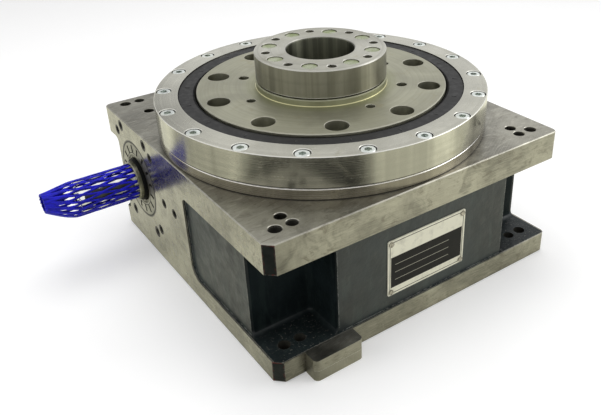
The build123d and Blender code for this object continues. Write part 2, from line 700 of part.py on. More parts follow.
def follower_stud():
    flange = CARRIER_BOTTOM - STUD_FLANGE_T
    low = ROLLER_BOTTOM - END_PLAY
    top = SPACER_TOP + NUT_H + STUD_END
    stud = rod(0, 0, flange, STUD_FLANGE_R, STUD_FLANGE_T) + rod(0, 0, low, PIN_R, flange - low)
    stud += rod(0, 0, CARRIER_BOTTOM, STUD_R, top - CARRIER_BOTTOM)
    stud += rod(0, 0, CAP_BOTTOM, STUD_CAP_R, STUD_CAP_T)
    half = STUD_SLOT / 2
    return stud - span(-STUD_R, STUD_R, -half, half, top - STUD_SLOT_DEPTH, top + OVER)


def follower_nut():
    nut = extrude(RegularPolygon(NUT_FLAT / 2, 6, major_radius=False), NUT_H)
    return Pos(0, 0, SPACER_TOP) * (nut - rod(0, 0, -OVER, STUD_R, NUT_H + 2 * OVER))


def make_followers():
    for i, (x, y) in enumerate(around(FOLLOWER_COUNT, FOLLOWER_PCR, FOLLOWER_ANGLE)):
        roller = rod(x, y, ROLLER_BOTTOM, ROLLER_R, ROLLER_L)
        roller = chamfer(roller.edges().filter_by(GeomType.CIRCLE), ROLLER_EDGE)
        roller -= rod(x, y, ROLLER_BOTTOM - OVER, PIN_R + FIT, ROLLER_L + 2 * OVER)
        save(roller, "follower_roller_%02d" % (i + 1))


def cam_point(turn, r, shift):
    """Point of the cam's groove, for a follower that the table has carried by turn from the cam's middle."""
    y = FOLLOWER_PCR * cos(turn) - CAM_Y
    a = acos(y / r) - CAM_RATIO * turn + radians(CAM_RATIO * CAM_OFFSET)
    return Vector(shift - FOLLOWER_PCR * sin(turn), CAM_Y + r * cos(a), CAM_Z + r * sin(a))


def cam_half_width(turn, r):
    """Half of the groove's width along the shaft, opened a little towards the cam's two ends."""
    lead = FOLLOWER_PCR * 2 * pi / CAM_RATIO * cos(turn)
    play = CAM_PLAY + CAM_FLARE * (degrees(turn) / CAM_FLARE_TURN) ** 2
    return ROLLER_R / cos(atan(lead / (2 * pi * r))) + play


def cam_groove(turn0, turn1):
    """One stretch of the groove: four ruled walls that follow the follower's path, and two ends."""
    steps = 20
    turns = [turn0 + (turn1 - turn0) * i / steps for i in range(steps + 1)]
    corners = [(CAM_ROOT_R, -1), (CAM_ROOT_R, 1), (CAM_R + CAM_ROOM, 1), (CAM_R + CAM_ROOM, -1)]
    lines = []
    for r, side in corners:
        lines.append(Edge.make_spline([cam_point(t, r, side * cam_half_width(t, r)) for t in turns]))
    faces = [Face.make_surface_from_curves(lines[i], lines[(i + 1) % 4]) for i in range(4)]
    for end in (0, 1):
        faces.append(Face(Wire.make_polygon([line @ end for line in lines], close=True)))
    return Solid(Shell(faces))


def parallel_key(x0, length, r):
    """Key that lies on top of a shaft of radius r, with round ends."""
    low = CAM_Z + r - KEY_SEAT
    key = span(x0, x0 + length, CAM_Y - KEY_W / 2, CAM_Y + KEY_W / 2, low, low + KEY_H)
    return fillet(key.edges().filter_by(Axis.Z), KEY_W / 2 - KEY_FLAT)


def make_cam():
    cam = rod_x(-CAM_L / 2, CAM_Y, CAM_Z, CAM_R, CAM_L)
    reach = asin((CAM_L / 2 + ROLLER_R + CAM_RUN_OUT) / FOLLOWER_PCR)
    for stretch in range(-2, 2):
        cam -= cam_groove(stretch * reach / 2, (stretch + 1) * reach / 2)
    cam -= rod_x(-CAM_L, CAM_Y, CAM_Z, SHAFT_R, 2 * CAM_L)
    key_top = CAM_Z + SHAFT_R - KEY_SEAT + KEY_H + KEY_ROOM
    cam -= span(-CAM_L, CAM_L, CAM_Y - KEY_W / 2, CAM_Y + KEY_W / 2, CAM_Z, key_top)
    save(cam, "barrel_cam")


def make_camshaft():
    cam_key = parallel_key(-CAM_KEY_L / 2, CAM_KEY_L, SHAFT_R)
    save(cam_key, "cam_key")
    step = -HOUSING_HALF_X - SHAFT_STEP
    end = step - INPUT_L
    far = HOUSING_HALF_X - ADJUSTER_T
    shaft = rod_x(step, CAM_Y, CAM_Z, SHAFT_R, far - step)
    shaft = chamfer(shaft.edges().filter_by(GeomType.CIRCLE), SHAFT_EDGE)
    nose = rod_x(end, CAM_Y, CAM_Z, INPUT_R, INPUT_L + 2 * OVER)
    shaft += chamfer(nose.edges().filter_by(GeomType.CIRCLE).sort_by(Axis.X)[0], SHAFT_EDGE)
    key_seat = parallel_key(end + INPUT_KEY_INSET, INPUT_KEY_L, INPUT_R)
    turn = Pos(0, CAM_Y, CAM_Z) * Rot(INPUT_KEY_TURN, 0, 0) * Pos(0, -CAM_Y, -CAM_Z)
    shaft -= [cam_key, turn * key_seat]
    shaft -= rod_x(end - OVER, CAM_Y, CAM_Z, M8_R, SHAFT_TAP_DEPTH + OVER)
    save(shaft, "camshaft")
    inner_end = HOUSING_HALF_X - ADJUSTER_T - BEARING_W
    gap = inner_end - CAM_L / 2
    spacers = []
    for x in (-inner_end, CAM_L / 2):
        outer = rod_x(x, CAM_Y, CAM_Z, SHAFT_R + SPACER_WALL, gap)
        spacers.append(outer - rod_x(x - OVER, CAM_Y, CAM_Z, SHAFT_R, gap + 2 * OVER))
    save(Compound(spacers), "cam_spacers")
    make_net_sleeve(step, end)


def make_net_sleeve(step, end):
    """Closed stand-in for the net that protects the shaft end and runs out past it to a tip."""
    tip = end - NET_TAIL
    inner = NET_R - NET_WALL
    neck = tip + NET_NECK_L
    shape = turned([
        (step, inner), (step, NET_R), (end, NET_R), (neck, NET_NECK_R), (tip, NET_TIP_R), (tip, 0),
        (tip + NET_TIP_WALL, 0), (tip + NET_TIP_WALL, NET_TIP_R - NET_WALL), (neck, NET_NECK_R - NET_WALL),
        (end, inner)], Axis.X)
    save(Pos(0, CAM_Y, CAM_Z) * shape, "shaft_net_sleeve")


def cone_r(angle, apex, x):
    return (x - apex) * tan(radians(angle))


def make_shaft_bearings():
    """Two tapered roller bearings, face to face, with their outer rings against the adjusting rings."""
    slant = TAPER_MEAN_R / sin(radians(TAPER))
    mid = BEARING_W / 2
    apex = mid - slant * cos(radians(TAPER))
    half_l = TAPER_ROLLER_L / 2
    cone_r0 = cone_r(TAPER - TAPER_HALF, apex, 0) - RACE_FIT
    cone_r1 = cone_r(TAPER - TAPER_HALF, apex, BEARING_W) - RACE_FIT
    cup_r0 = cone_r(TAPER + TAPER_HALF, apex, CUP_INSET) + RACE_FIT
    cup_r1 = cone_r(TAPER + TAPER_HALF, apex, BEARING_W) + RACE_FIT
    cone = turned([(0, SHAFT_R), (0, cone_r0), (BEARING_W, cone_r1), (BEARING_W, SHAFT_R)], Axis.X)
    cup = turned([
        (CUP_INSET, cup_r0), (CUP_INSET, BEARING_R), (BEARING_W, BEARING_R), (BEARING_W, cup_r1)], Axis.X)
    r_small = (slant - half_l) * tan(radians(TAPER_HALF))
    r_large = (slant + half_l) * tan(radians(TAPER_HALF))
    roller = Rot(0, 90, 0) * Cone(r_small, r_large, TAPER_ROLLER_L)
    roller = Pos(mid, TAPER_MEAN_R, 0) * Rot(0, 0, TAPER) * roller
    rollers = [Rot(360.0 * i / TAPER_ROLLER_COUNT, 0, 0) * roller for i in range(TAPER_ROLLER_COUNT)]
    inner_end = HOUSING_HALF_X - ADJUSTER_T - BEARING_W
    left = Pos(-inner_end, CAM_Y, CAM_Z) * Rot(0, 0, 180)
    right = Pos(inner_end, CAM_Y, CAM_Z)
    for side, place in (("input", left), ("far", right)):
        save(place * cone, side + "_bearing_cone")
        save(place * cup, side + "_bearing_cup")
        save(Compound([place * r for r in rollers]), side + "_bearing_rollers")


def adjusting_ring(side, bore):
    """Slotted ring, flush with the housing, that sets the play of a bearing of the camshaft."""
    face = side * HOUSING_HALF_X
    x0 = min(face, face - side * ADJUSTER_T)
    ring = rod_x(x0, CAM_Y, CAM_Z, SHAFT_BORE_R - FIT, ADJUSTER_T)
    if bore:
        ring -= rod_x(x0 - OVER, CAM_Y, CAM_Z, bore, ADJUSTER_T + 2 * OVER)
    slot = Box(2 * SLOT_DEPTH, SLOT_W, SLOT_L)
    for i in range(SLOT_COUNT):
        turn = 360.0 * (i + 0.5) / SLOT_COUNT
        ring -= Pos(face, CAM_Y, CAM_Z) * Rot(turn, 0, 0) * Pos(0, 0, SHAFT_BORE_R - SLOT_INSET) * slot
    return ring


def make_adjusters():
    save(adjusting_ring(-1, ADJUSTER_BORE_R), "input_adjusting_ring")
    save(adjusting_ring(1, 0), "far_adjusting_cover")
    face = -HOUSING_HALF_X
    inner = SHAFT_R + FIT
    lip = ADJUSTER_BORE_R - SEAL_TAPER
    seal = turned([
        (face - SEAL_PROUD, inner), (face - SEAL_PROUD, lip - OVER), (face, lip), (face, ADJUSTER_BORE_R),
        (face + SEAL_DEPTH, ADJUSTER_BORE_R), (face + SEAL_DEPTH, inner)], Axis.X)
    save(Pos(0, CAM_Y, CAM_Z) * seal, "input_shaft_seal")


def make_column():
    base = BASE_PLATE_T
    flange = base + FLANGE_T
    column = turned([
        (BORE_R, base), (FLANGE_R, base), (FLANGE_R, flange), (COLUMN_WAIST_R + COLUMN_WAIST, flange),
        (COLUMN_WAIST_R, flange + COLUMN_WAIST), (COLUMN_WAIST_R, COLUMN_STEP_Z - COLUMN_STEP_L),
        (COLUMN_R, COLUMN_STEP_Z), (COLUMN_R, HEAD_BOTTOM), (BORE_R, HEAD_BOTTOM)])
    head = turned([
        (BORE_R, HEAD_BOTTOM), (HEAD_R - HEAD_EDGE, HEAD_BOTTOM), (HEAD_R, HEAD_BOTTOM + HEAD_EDGE),
        (HEAD_R, HEAD_TOP - HEAD_EDGE), (HEAD_R - HEAD_EDGE, HEAD_TOP), (BORE_R + HEAD_BORE_EDGE, HEAD_TOP),
        (BORE_R, HEAD_TOP - HEAD_BORE_EDGE)])
    screws = []
    head_z = HEAD_TOP - HEAD_CBORE_DEPTH
    screw = socket_screw(head_z - HEAD_BOTTOM + HEAD_THREAD)
    depth = HEAD_THREAD + THREAD_ROOM
    for x, y in around(HEAD_SCREW_COUNT, HEAD_SCREW_PCR):
        head -= rod(x, y, HEAD_BOTTOM - OVER, M8_CLEAR_R, HEAD_H)
        head -= Pos(x, y, HEAD_TOP) * drilled(HEAD_CBORE_R, HEAD_CBORE_DEPTH)
        column -= rod(x, y, HEAD_BOTTOM - depth, M8_R, depth + OVER)
        screws.append(Pos(x, y, head_z) * screw)
    for x, y in around(HEAD_SCREW_COUNT, HEAD_TAP_PCR, HALF_STEP):
        head -= Pos(x, y, HEAD_TOP) * drilled(HEAD_TAP_R, HEAD_TAP_DEPTH)
    for x, y in around(HEAD_SCREW_COUNT, FLANGE_SCREW_PCR, HALF_STEP):
        column -= rod(x, y, base - OVER, M8_R, FLANGE_THREAD + POINT_ROOM + OVER)
    save(column, "central_column")
    save(head, "column_head")
    save(Compound(screws), "column_head_screws")


def make_nameplate():
    wall = WALL_SETBACK - HOUSING_FRONT
    low = PLATE_Z - PLATE_H / 2
    plate = span(-PLATE_W / 2, PLATE_W / 2, wall - PLATE_T, wall, low, low + PLATE_H)
    plate = fillet(plate.edges().filter_by(Axis.Y), PLATE_ROUND)
    rivets = []
    for x, z in rivet_places():
        plate -= rod_y(x, wall - PLATE_T - OVER, z, RIVET_R + THREAD_PLAY, PLATE_T + 2 * OVER)
        head = rod_y(x, wall - PLATE_T - RIVET_HEAD_H, z, RIVET_HEAD_R, RIVET_HEAD_H)
        rivets.append(head + rod_y(x, wall - PLATE_T, z, RIVET_R, RIVET_L))
    save(plate, "nameplate")
    save(Compound(rivets), "nameplate_rivets")


def oil_plug(x, y, z, flange_r):
    body = rod_y(x, y - OIL_PLUG_L, z, OIL_PLUG_R - THREAD_PLAY, OIL_PLUG_L)
    return body + rod_y(x, y, z, flange_r, OIL_FLANGE_T)


def make_oil_fittings():
    back = HOUSING_BACK - WALL_SETBACK
    filler, drain, sight = oil_places()
    hexagon = extrude(RegularPolygon(OIL_KEY / 2, 6, major_radius=False), OIL_KEY_DEPTH + OVER)
    for name, (x, z) in (("oil_filler_plug", filler), ("oil_drain_plug", drain)):
        key = Pos(x, back + OIL_FLANGE_T - OIL_KEY_DEPTH, z) * Rot(-90, 0, 0) * hexagon
        save(oil_plug(x, back, z, OIL_FLANGE_R) - key, name)
    x, z = sight
    window = rod_y(x, back - OIL_PLUG_L - OVER, z, SIGHT_GLASS_R, OIL_PLUG_L + OIL_FLANGE_T + 2 * OVER)
    save(oil_plug(x, back, z, SIGHT_R) - window, "sight_glass_rim")
    save(rod_y(x, back + OVER - SIGHT_GLASS_L, z, SIGHT_GLASS_R, SIGHT_GLASS_L), "sight_glass")


make_housing()
make_base()
make_lug_pad()
make_rings()
make_main_bearing()
make_disc_seals()
make_disc()
make_followers()
make_cam()
make_camshaft()
make_shaft_bearings()
make_adjusters()
make_column()
make_nameplate()
make_oil_fittings()
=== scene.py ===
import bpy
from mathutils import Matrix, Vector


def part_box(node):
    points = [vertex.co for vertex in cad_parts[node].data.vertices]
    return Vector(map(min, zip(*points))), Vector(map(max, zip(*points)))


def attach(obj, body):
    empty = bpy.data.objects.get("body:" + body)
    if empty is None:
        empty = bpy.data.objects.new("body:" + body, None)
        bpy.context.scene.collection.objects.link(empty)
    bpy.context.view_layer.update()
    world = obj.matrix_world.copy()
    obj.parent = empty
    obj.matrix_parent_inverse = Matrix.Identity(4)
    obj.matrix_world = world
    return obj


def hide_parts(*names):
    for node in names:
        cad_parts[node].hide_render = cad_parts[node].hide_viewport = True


bl_info = {
    "name": "Rotary Indexing Table",
    "version": (1, 0, 0),
    "blender": (4, 5, 0),
    "location": "View3D > Sidebar > Indexing Table",
    "description": "Finishes and trim of a cam-driven rotary indexing table, with its studio",
    "category": "Object",
}

from math import cos, pi, radians, sin

import bmesh
import bpy
from bpy.props import FloatProperty, FloatVectorProperty, IntProperty, PointerProperty
from bpy.types import Operator, Panel, PropertyGroup
from mathutils import Matrix, Vector

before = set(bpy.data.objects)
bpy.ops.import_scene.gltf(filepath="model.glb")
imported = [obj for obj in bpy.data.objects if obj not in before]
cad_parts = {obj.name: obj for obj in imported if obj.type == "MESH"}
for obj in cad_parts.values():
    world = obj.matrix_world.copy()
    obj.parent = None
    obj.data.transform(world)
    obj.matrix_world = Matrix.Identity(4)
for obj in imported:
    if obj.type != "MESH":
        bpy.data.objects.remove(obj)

MM = 0.001

# Corners of solids that finishes and added pieces fit
HOUSING_LOW, HOUSING_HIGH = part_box("housing_casting")
RING_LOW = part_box("clamp_ring")[0]
SEAL_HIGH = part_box("disc_seal")[1]
HEAD_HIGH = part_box("column_head")[1]
SHAFT_LOW, SHAFT_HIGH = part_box("camshaft")
NET_LOW, NET_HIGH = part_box("shaft_net_sleeve")
PLATE_LOW, PLATE_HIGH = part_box("nameplate")

# Housing: walls, recesses, the near corner's cuts and the middle of the milling's sweeps
SIDE_X = HOUSING_HIGH.x
FRONT_Y = -162.5 * MM
BACK_Y = HOUSING_HIGH.y
FOOT_TOP = 21.5 * MM
PLATE_UNDERSIDE = 108.5 * MM
NOTCH_X = 97.2 * MM
NOTCH_FRONT = -117.2 * MM
NOTCH_BACK = 147.7 * MM
CUT_X = -150 * MM
CUT_Y = -145 * MM
SWEEP_X = -0.32
SWEEP_Y = 0.55

# Limits of the housing's holes; a span is a limit of |x| + |y|
CORNER_HOLE_SPAN = 300 * MM
BLIND_TAP_SPAN = 244 * MM
BLIND_TAP_X = 137 * MM
BLIND_TAP_Y = 138 * MM
SIDE_HOLES_R = 100 * MM

# Disc, column and clamp ring
COLLAR_R = 63.6 * MM
DISC_TOP = 177.5 * MM
DISC_R = 120.4 * MM
RING_LIP_R = 137.8 * MM
BORE_R = 32.8 * MM

# Input side; the tapped holes in mm as places beside the shaft's axis and radius of the rim painted
# dark as their shade
SHAFT_Y = (SHAFT_LOW.y + SHAFT_HIGH.y) / 2
SHAFT_Z = (SHAFT_LOW.z + SHAFT_HIGH.z) / 2
SHAFT_SEAT = 41 * MM
SHAFT_END_R = 16 * MM
SLOT_COUNT = 16
SLOT_HALF_W = 1.7 * MM
SLOT_INNER = 28.6 * MM
SLOT_OUTER = 36.4 * MM
SIDE_TAPS = ((29.5, 49.4, 6.1), (42.0, 40.4, 5.5))
FRONT_TAPS = (-63.0, -86.5)
FRONT_TAP_RIM = 5.0

# Caps over the head's screws; profile as radius and height in mm
CAP_COUNT = 8
CAP_CIRCLE = 50 * MM
CAP_SINK = 1.3 * MM
CAP_STEPS = 40
CAP_PROFILE = ((7.3, -1.6), (7.4, -1.3), (7.4, -0.3), (7.1, 0.0), (6.2, 0.0), (5.7, -0.35))

# Shaft seal; profiles as depth below the side and radius in mm
LATHE_STEPS = 96
SEAL_LIP = (
    (7.0, 22.6), (0.3, 22.6), (-0.6, 22.3), (-2.3, 21.9), (-2.8, 21.5), (-3.0, 21.0),
    (-3.0, 20.3), (-2.6, 20.06), (7.0, 20.06))
SEAL_CASE = ((8.0, 25.98), (0.7, 25.98), (0.3, 25.6), (0.3, 22.65), (8.0, 22.65))

# Joints of the disc seal; levels as height over the seal and inset of the sides in mm
FIRST_TICK = radians(6.5)
TICK_LEVELS = ((-0.3, 0.0), (0.15, 0.0), (0.35, 0.25))

# Net: shares of a strand's size, and how the net closes to its tip
STRAND_SIDES = 8
STRAND_STEPS = 40
STRAND_PROBE = 0.5 * MM
STRAND_SLIM = 0.90
WELD_WIDER = 0.25
WELD_THICKER = 0.20
FOLD_WIDER = 0.30
FOLD_EASE = 1.25
RISE_EASE = 1.6
NET_START_GAP = 0.3 * MM
NET_TIP_GAP = 1.2 * MM

# Blank nameplate: lines and bands from its edges, rules from its middle in mm
PLATE_SOFT = 0.12 * MM
PLATE_BORDER = 2.2 * MM
PLATE_INSET = 3.3 * MM
PLATE_FOOT = 8.0 * MM
PLATE_HEAD = 17.5 * MM
LINE_HALF_W = 0.35 * MM
RULE_HALF_W = 0.2
RULE_LEVELS = (2.8, -5.2, -13.2)
RULE_ENDS = (-37 * MM, 26 * MM)

# Tones
# Painted shade laid in the housing's holes and seams
HOLE_SHADE = (0.012, 0.011, 0.009)
IRON_OIL = (0.135, 0.120, 0.095)
IRON_SPECK = (0.12, 0.11, 0.09)
IRON_EDGE = (0.78, 0.77, 0.72)
# Painted light on the casting's top faces
TOP_LIGHT = (0.80, 0.78, 0.70)
PAINT_DUST = (0.028, 0.042, 0.038)
PAINT_CHIP = (0.30, 0.31, 0.28)
CUT_PAINT = ((0.006, 0.008, 0.007), (0.015, 0.018, 0.015))
CUT_PRIMER = (0.17, 0.018, 0.012)
STEEL_STAIN = (0.34, 0.31, 0.20)
# Painted highlight on chamfers
CHAMFER_HIGHLIGHT = (0.93, 0.92, 0.88)
STEEL_EDGE = (0.85, 0.84, 0.80)
COLLAR_OIL = (0.30, 0.31, 0.17)
COLLAR_FOOT = (0.94, 0.91, 0.66)
# Painted shade on upright walls
UPRIGHT_SHADE = (0.085, 0.080, 0.030)
# Painted reflection in the column's bore, in bands
BORE_REFLECTION_TONES = ((0.24, 0.245, 0.18), (0.13, 0.135, 0.10))
# Painted shade in seams, and a painted highlight on the edge under the first
SEAM_SHADE = (0.012, 0.011, 0.010)
SEAM_HIGHLIGHT = (0.95, 0.93, 0.90)
GROUND_EDGE = (0.86, 0.86, 0.84)
SHAFT_BRIGHT = (0.92, 0.92, 0.88)
SHOULDER_TONES = ((0.34, 0.33, 0.26), (0.12, 0.12, 0.085))
# Painted shade in the shaft's keyway
KEYWAY_SHADE = (0.04, 0.04, 0.035)
MILLED_EDGE = (0.80, 0.79, 0.75)
# Painted shade, with grime, in the adjusting rings' slots and seams
SLOT_SHADE = (0.008, 0.008, 0.007)
ZINC_YELLOW = (0.62, 0.62, 0.50)
ZINC_EDGE = (0.92, 0.92, 0.90)
# Painted shade in the gaps beside the disc seal
SEAL_GAP_SHADE = (0.001, 0.001, 0.001)
PLATE_BLACK = ((0.005, 0.005, 0.005), (0.014, 0.013, 0.012))
PLATE_EDGE = (0.75, 0.75, 0.72)
RIVET_TONES = ((0.42, 0.40, 0.36), (0.16, 0.15, 0.13))
GLASS_TONES = ((0.80, 0.74, 0.50), (0.92, 0.88, 0.70))
CAP_TONES = ((0.31, 0.33, 0.23), (0.18, 0.215, 0.09))
CASE_TONES = ((0.20, 0.195, 0.16), (0.09, 0.088, 0.07))
TICK_TONES = ((0.004, 0.004, 0.004), (0.010, 0.010, 0.009))
WHITE = (1.0, 1.0, 1.0)
WARM = (1.0, 0.99, 0.82)

# Shares of the steel's red, green and blue
RING_STEEL = (1.0, 1.0, 1.0)
SPACER_STEEL = (0.68, 0.64, 0.61)
DISC_STEEL = (0.80, 0.80, 0.71)
COLUMN_STEEL = (0.94, 0.94, 0.94)

# Camera fitted to the photograph: sizes and centre in pixels, place in mm
PHOTO_WIDTH = 601
PHOTO_HEIGHT = 415
CAMERA_PLACE = (-365.4, -553.8, 437.2)
CAMERA_FORWARD = (0.51063, 0.71173, -0.48238)
CAMERA_RIGHT = (0.80657, -0.59087, -0.01801)
CAMERA_FOCAL = 723.9
CAMERA_CENTRE = (350.0, 175.0)

# Lamps: name, place, size, power, seen in reflections
LAMP_TARGET = (0.0, 0.0, 0.1)
LAMPS = (
    ("overhead_softbox", (0.10, 0.25, 1.30), 1.1, 8.0, False),
    ("right_softbox", (1.05, -0.65, 0.70), 0.8, 5.0, True),
    ("left_softbox", (-1.10, 0.20, 0.75), 0.8, 3.0, False),
)

# Dark cards: name, place, half sizes, turn in degrees, cover
CARDS = (
    ("near_card", (-0.31, -0.34, 0.001), (0.36, 0.27), (0, 0, -50), 1.0),
    ("left_card", (-0.43, 0.15, 0.001), (0.19, 0.32), (0, 0, 0), 0.5),
    ("camera_card", (-0.90, -1.30, 0.92), (0.42, 0.42), (-58, 0, -35), 0.95),
    ("back_card", (-0.05, 2.0, 1.15), (0.85, 0.85), (119, 0, 0), 0.55),
)
FLOOR_R = 6.0
FLOOR_GLOW = 0.22


def colour(name, text, value):
    """Colour setting."""
    return FloatVectorProperty(
        name=name, description=text, default=value, subtype="COLOR", size=3, min=0.0, max=1.0)


def length(name, text, value):
    """Length setting."""
    return FloatProperty(name=name, description=text, default=value, unit="LENGTH", min=0.0)


class TABLE_PG_finish(PropertyGroup):
    casting: colour("Casting", "Machined faces of the cast housing", (0.270, 0.262, 0.222))
    paint: colour("Paint", "Recessed walls of the housing", (0.013, 0.019, 0.020))
    steel: colour("Steel", "Turned rings, disc and column", (0.485, 0.478, 0.412))
    zinc: colour("Zinc", "Plated screws", (0.74, 0.78, 0.75))
    rubber: colour("Rubber", "Seals", (0.006, 0.006, 0.006))
    net: colour("Net", "Protective net on the shaft end", (0.011, 0.011, 0.48))
    cream: colour("Plate print", "Light print of the nameplate", (0.82, 0.80, 0.63))
    brass: colour("Brass", "Oil fittings", (0.62, 0.46, 0.22))
    wear: FloatProperty(
        name="Wear", description="Amount of stains, chips and rubbed edges", default=1.0,
        subtype="FACTOR", min=0.0, max=1.0)


class TABLE_PG_net(PropertyGroup):
    strand_count: IntProperty(
        name="Strands", description="Number of strands in each direction", default=16,
        min=6, max=40)
    strand_width: length("Strand width", "Width of one strand", 2.45 * MM)
    strand_thickness: length("Strand thickness", "Thickness of one strand", 1.3 * MM)
    diamond: length("Diamond", "Length of one mesh along the shaft", 18 * MM)
    fold: length("Fold", "Length over which the net closes", 28.5 * MM)
    tip_high: length("Tip height", "Half height of the net at its tip", 8.9 * MM)
    tip_wide: length("Tip width", "Half width of the net at its tip", 8.0 * MM)
    tip_rise: length("Tip rise", "Height of the tip's middle over the shaft's axis", 5.7 * MM)


class TABLE_PG_seal(PropertyGroup):
    tick_count: IntProperty(
        name="Ticks", description="Number of radial joints", default=18, min=0, max=72)
    tick_radius: length("Tick radius", "Radius of the joints' middle", 130.3 * MM)
    tick_length: length("Tick length", "Length of one joint", 4.4 * MM)
    tick_width: length("Tick width", "Width of one joint", 1.2 * MM)


class TABLE_PG_stage(PropertyGroup):
    floor: colour("Floor", "Floor of the studio", (0.84, 0.84, 0.84))
    lamp_strength: FloatProperty(
        name="Lamps", description="Strength of the studio's lamps", default=1.0,
        min=0.0, max=10.0)
    world_strength: FloatProperty(
        name="Surroundings", description="Strength of the light from all sides", default=0.55,
        min=0.0, max=2.0)


def rgba(value):
    """The colour as an opaque one of four numbers."""
    return (value[0], value[1], value[2], 1.0)


def shade(value, factor):
    """The colour, made lighter or darker."""
    return tuple(min(1.0, channel * factor) for channel in value)


def tinted(value, shares):
    """The colour, with a share for each of its channels."""
    return tuple(channel * share for channel, share in zip(value, shares))


def turns(count, start=0.0):
    """Even turns round a full circle, in radians."""
    return [start + 2 * pi * i / count for i in range(count)]


class Nodes:
    """Short calls that lay out the nodes of a tree. A mask is 1 where it holds, else 0."""

    def __init__(self, tree):
        self.nodes = tree.nodes
        self.links = tree.links

    def add(self, kind, inputs=None, **settings):
        node = self.nodes.new(kind)
        for key, value in settings.items():
            setattr(node, key, value)
        for key, value in (inputs or {}).items():
            self.put(node.inputs[key], value)
        return node

    def put(self, socket, value):
        if isinstance(value, bpy.types.NodeSocket):
            self.links.new(value, socket)
        elif socket.type == "RGBA":
            socket.default_value = rgba(value)
        else:
            socket.default_value = value

    def split(self, vector):
        return self.add("ShaderNodeSeparateXYZ", {0: vector}).outputs

    def join(self, x, y, z):
        return self.add("ShaderNodeCombineXYZ", {0: x, 1: y, 2: z}).outputs[0]

    def math(self, operation, a, b=0.0):
        return self.add("ShaderNodeMath", {0: a, 1: b}, operation=operation).outputs[0]

    def plus(self, a, b):
        return self.math("ADD", a, b)

    def minus(self, a, b):
        return self.math("SUBTRACT", a, b)

    def abs(self, value):
        return self.math("ABSOLUTE", value)

    def distance(self, a, b):
        """Length of the vector whose two parts are given."""
        return self.math("SQRT", self.plus(self.both(a, a), self.both(b, b)))

    def vector(self, operation, a, b):
        return self.add("ShaderNodeVectorMath", {0: a, 1: b}, operation=operation)

    def both(self, *masks):
        """Where every mask holds, or a mask at a share of its strength."""
        result = masks[0]
        for mask in masks[1:]:
            result = self.math("MULTIPLY", result, mask)
        return result

    def either(self, *masks):
        result = masks[0]
        for mask in masks[1:]:
            result = self.math("MAXIMUM", result, mask)
        return result

    def step(self, value, low, high, to_low=0.0, to_high=1.0):
        inputs = {0: value, 1: low, 2: high, 3: to_low, 4: to_high}
        return self.add("ShaderNodeMapRange", inputs, interpolation_type="SMOOTHSTEP").outputs[0]

    def within(self, value, low, high, soft):
        return self.both(
            self.step(value, low - soft, low + soft), self.step(value, high + soft, high - soft))

    def past(self, value, edge, start, full):
        """Mask that fades in between two distances from an edge, in mm."""
        return self.step(value, edge + start * MM, edge + full * MM)

    def band(self, value, edge, low, high, soft):
        """Mask of what lies between two distances from an edge, in mm."""
        return self.within(value, edge + low * MM, edge + high * MM, soft * MM)

    def by(self, mask, outside, inside):
        """One number outside the mask, another inside it."""
        return self.step(mask, 0.0, 1.0, outside, inside)

    def follow(self, film, thin, thick):
        """A number that follows the thickness of a film."""
        return self.step(film, 0.3, 0.7, thin, thick)

    def mix(self, amount, a, b):
        return self.add("ShaderNodeMix", {0: amount, 2: a, 3: b}).outputs[0]

    def blend(self, amount, a, b):
        return self.add("ShaderNodeMix", {0: amount, 6: a, 7: b}, data_type="RGBA").outputs[2]

    def layers(self, tone, *layers):
        """A tone with others laid over it, each with its mask and share."""
        for over, mask, share in layers:
            tone = self.blend(self.both(mask, share), tone, over)
        return tone

    def cloudy(self, base, film, low, high, thin, thick):
        """The base colour in two shades, where a film is thin and thick."""
        return self.blend(self.step(film, low, high), shade(base, thin), shade(base, thick))

    def seen_directly(self):
        """Mask of camera, glossy and transmission rays."""
        path = self.add("ShaderNodeLightPath").outputs
        return self.either(
            path["Is Camera Ray"], path["Is Glossy Ray"], path["Is Transmission Ray"])


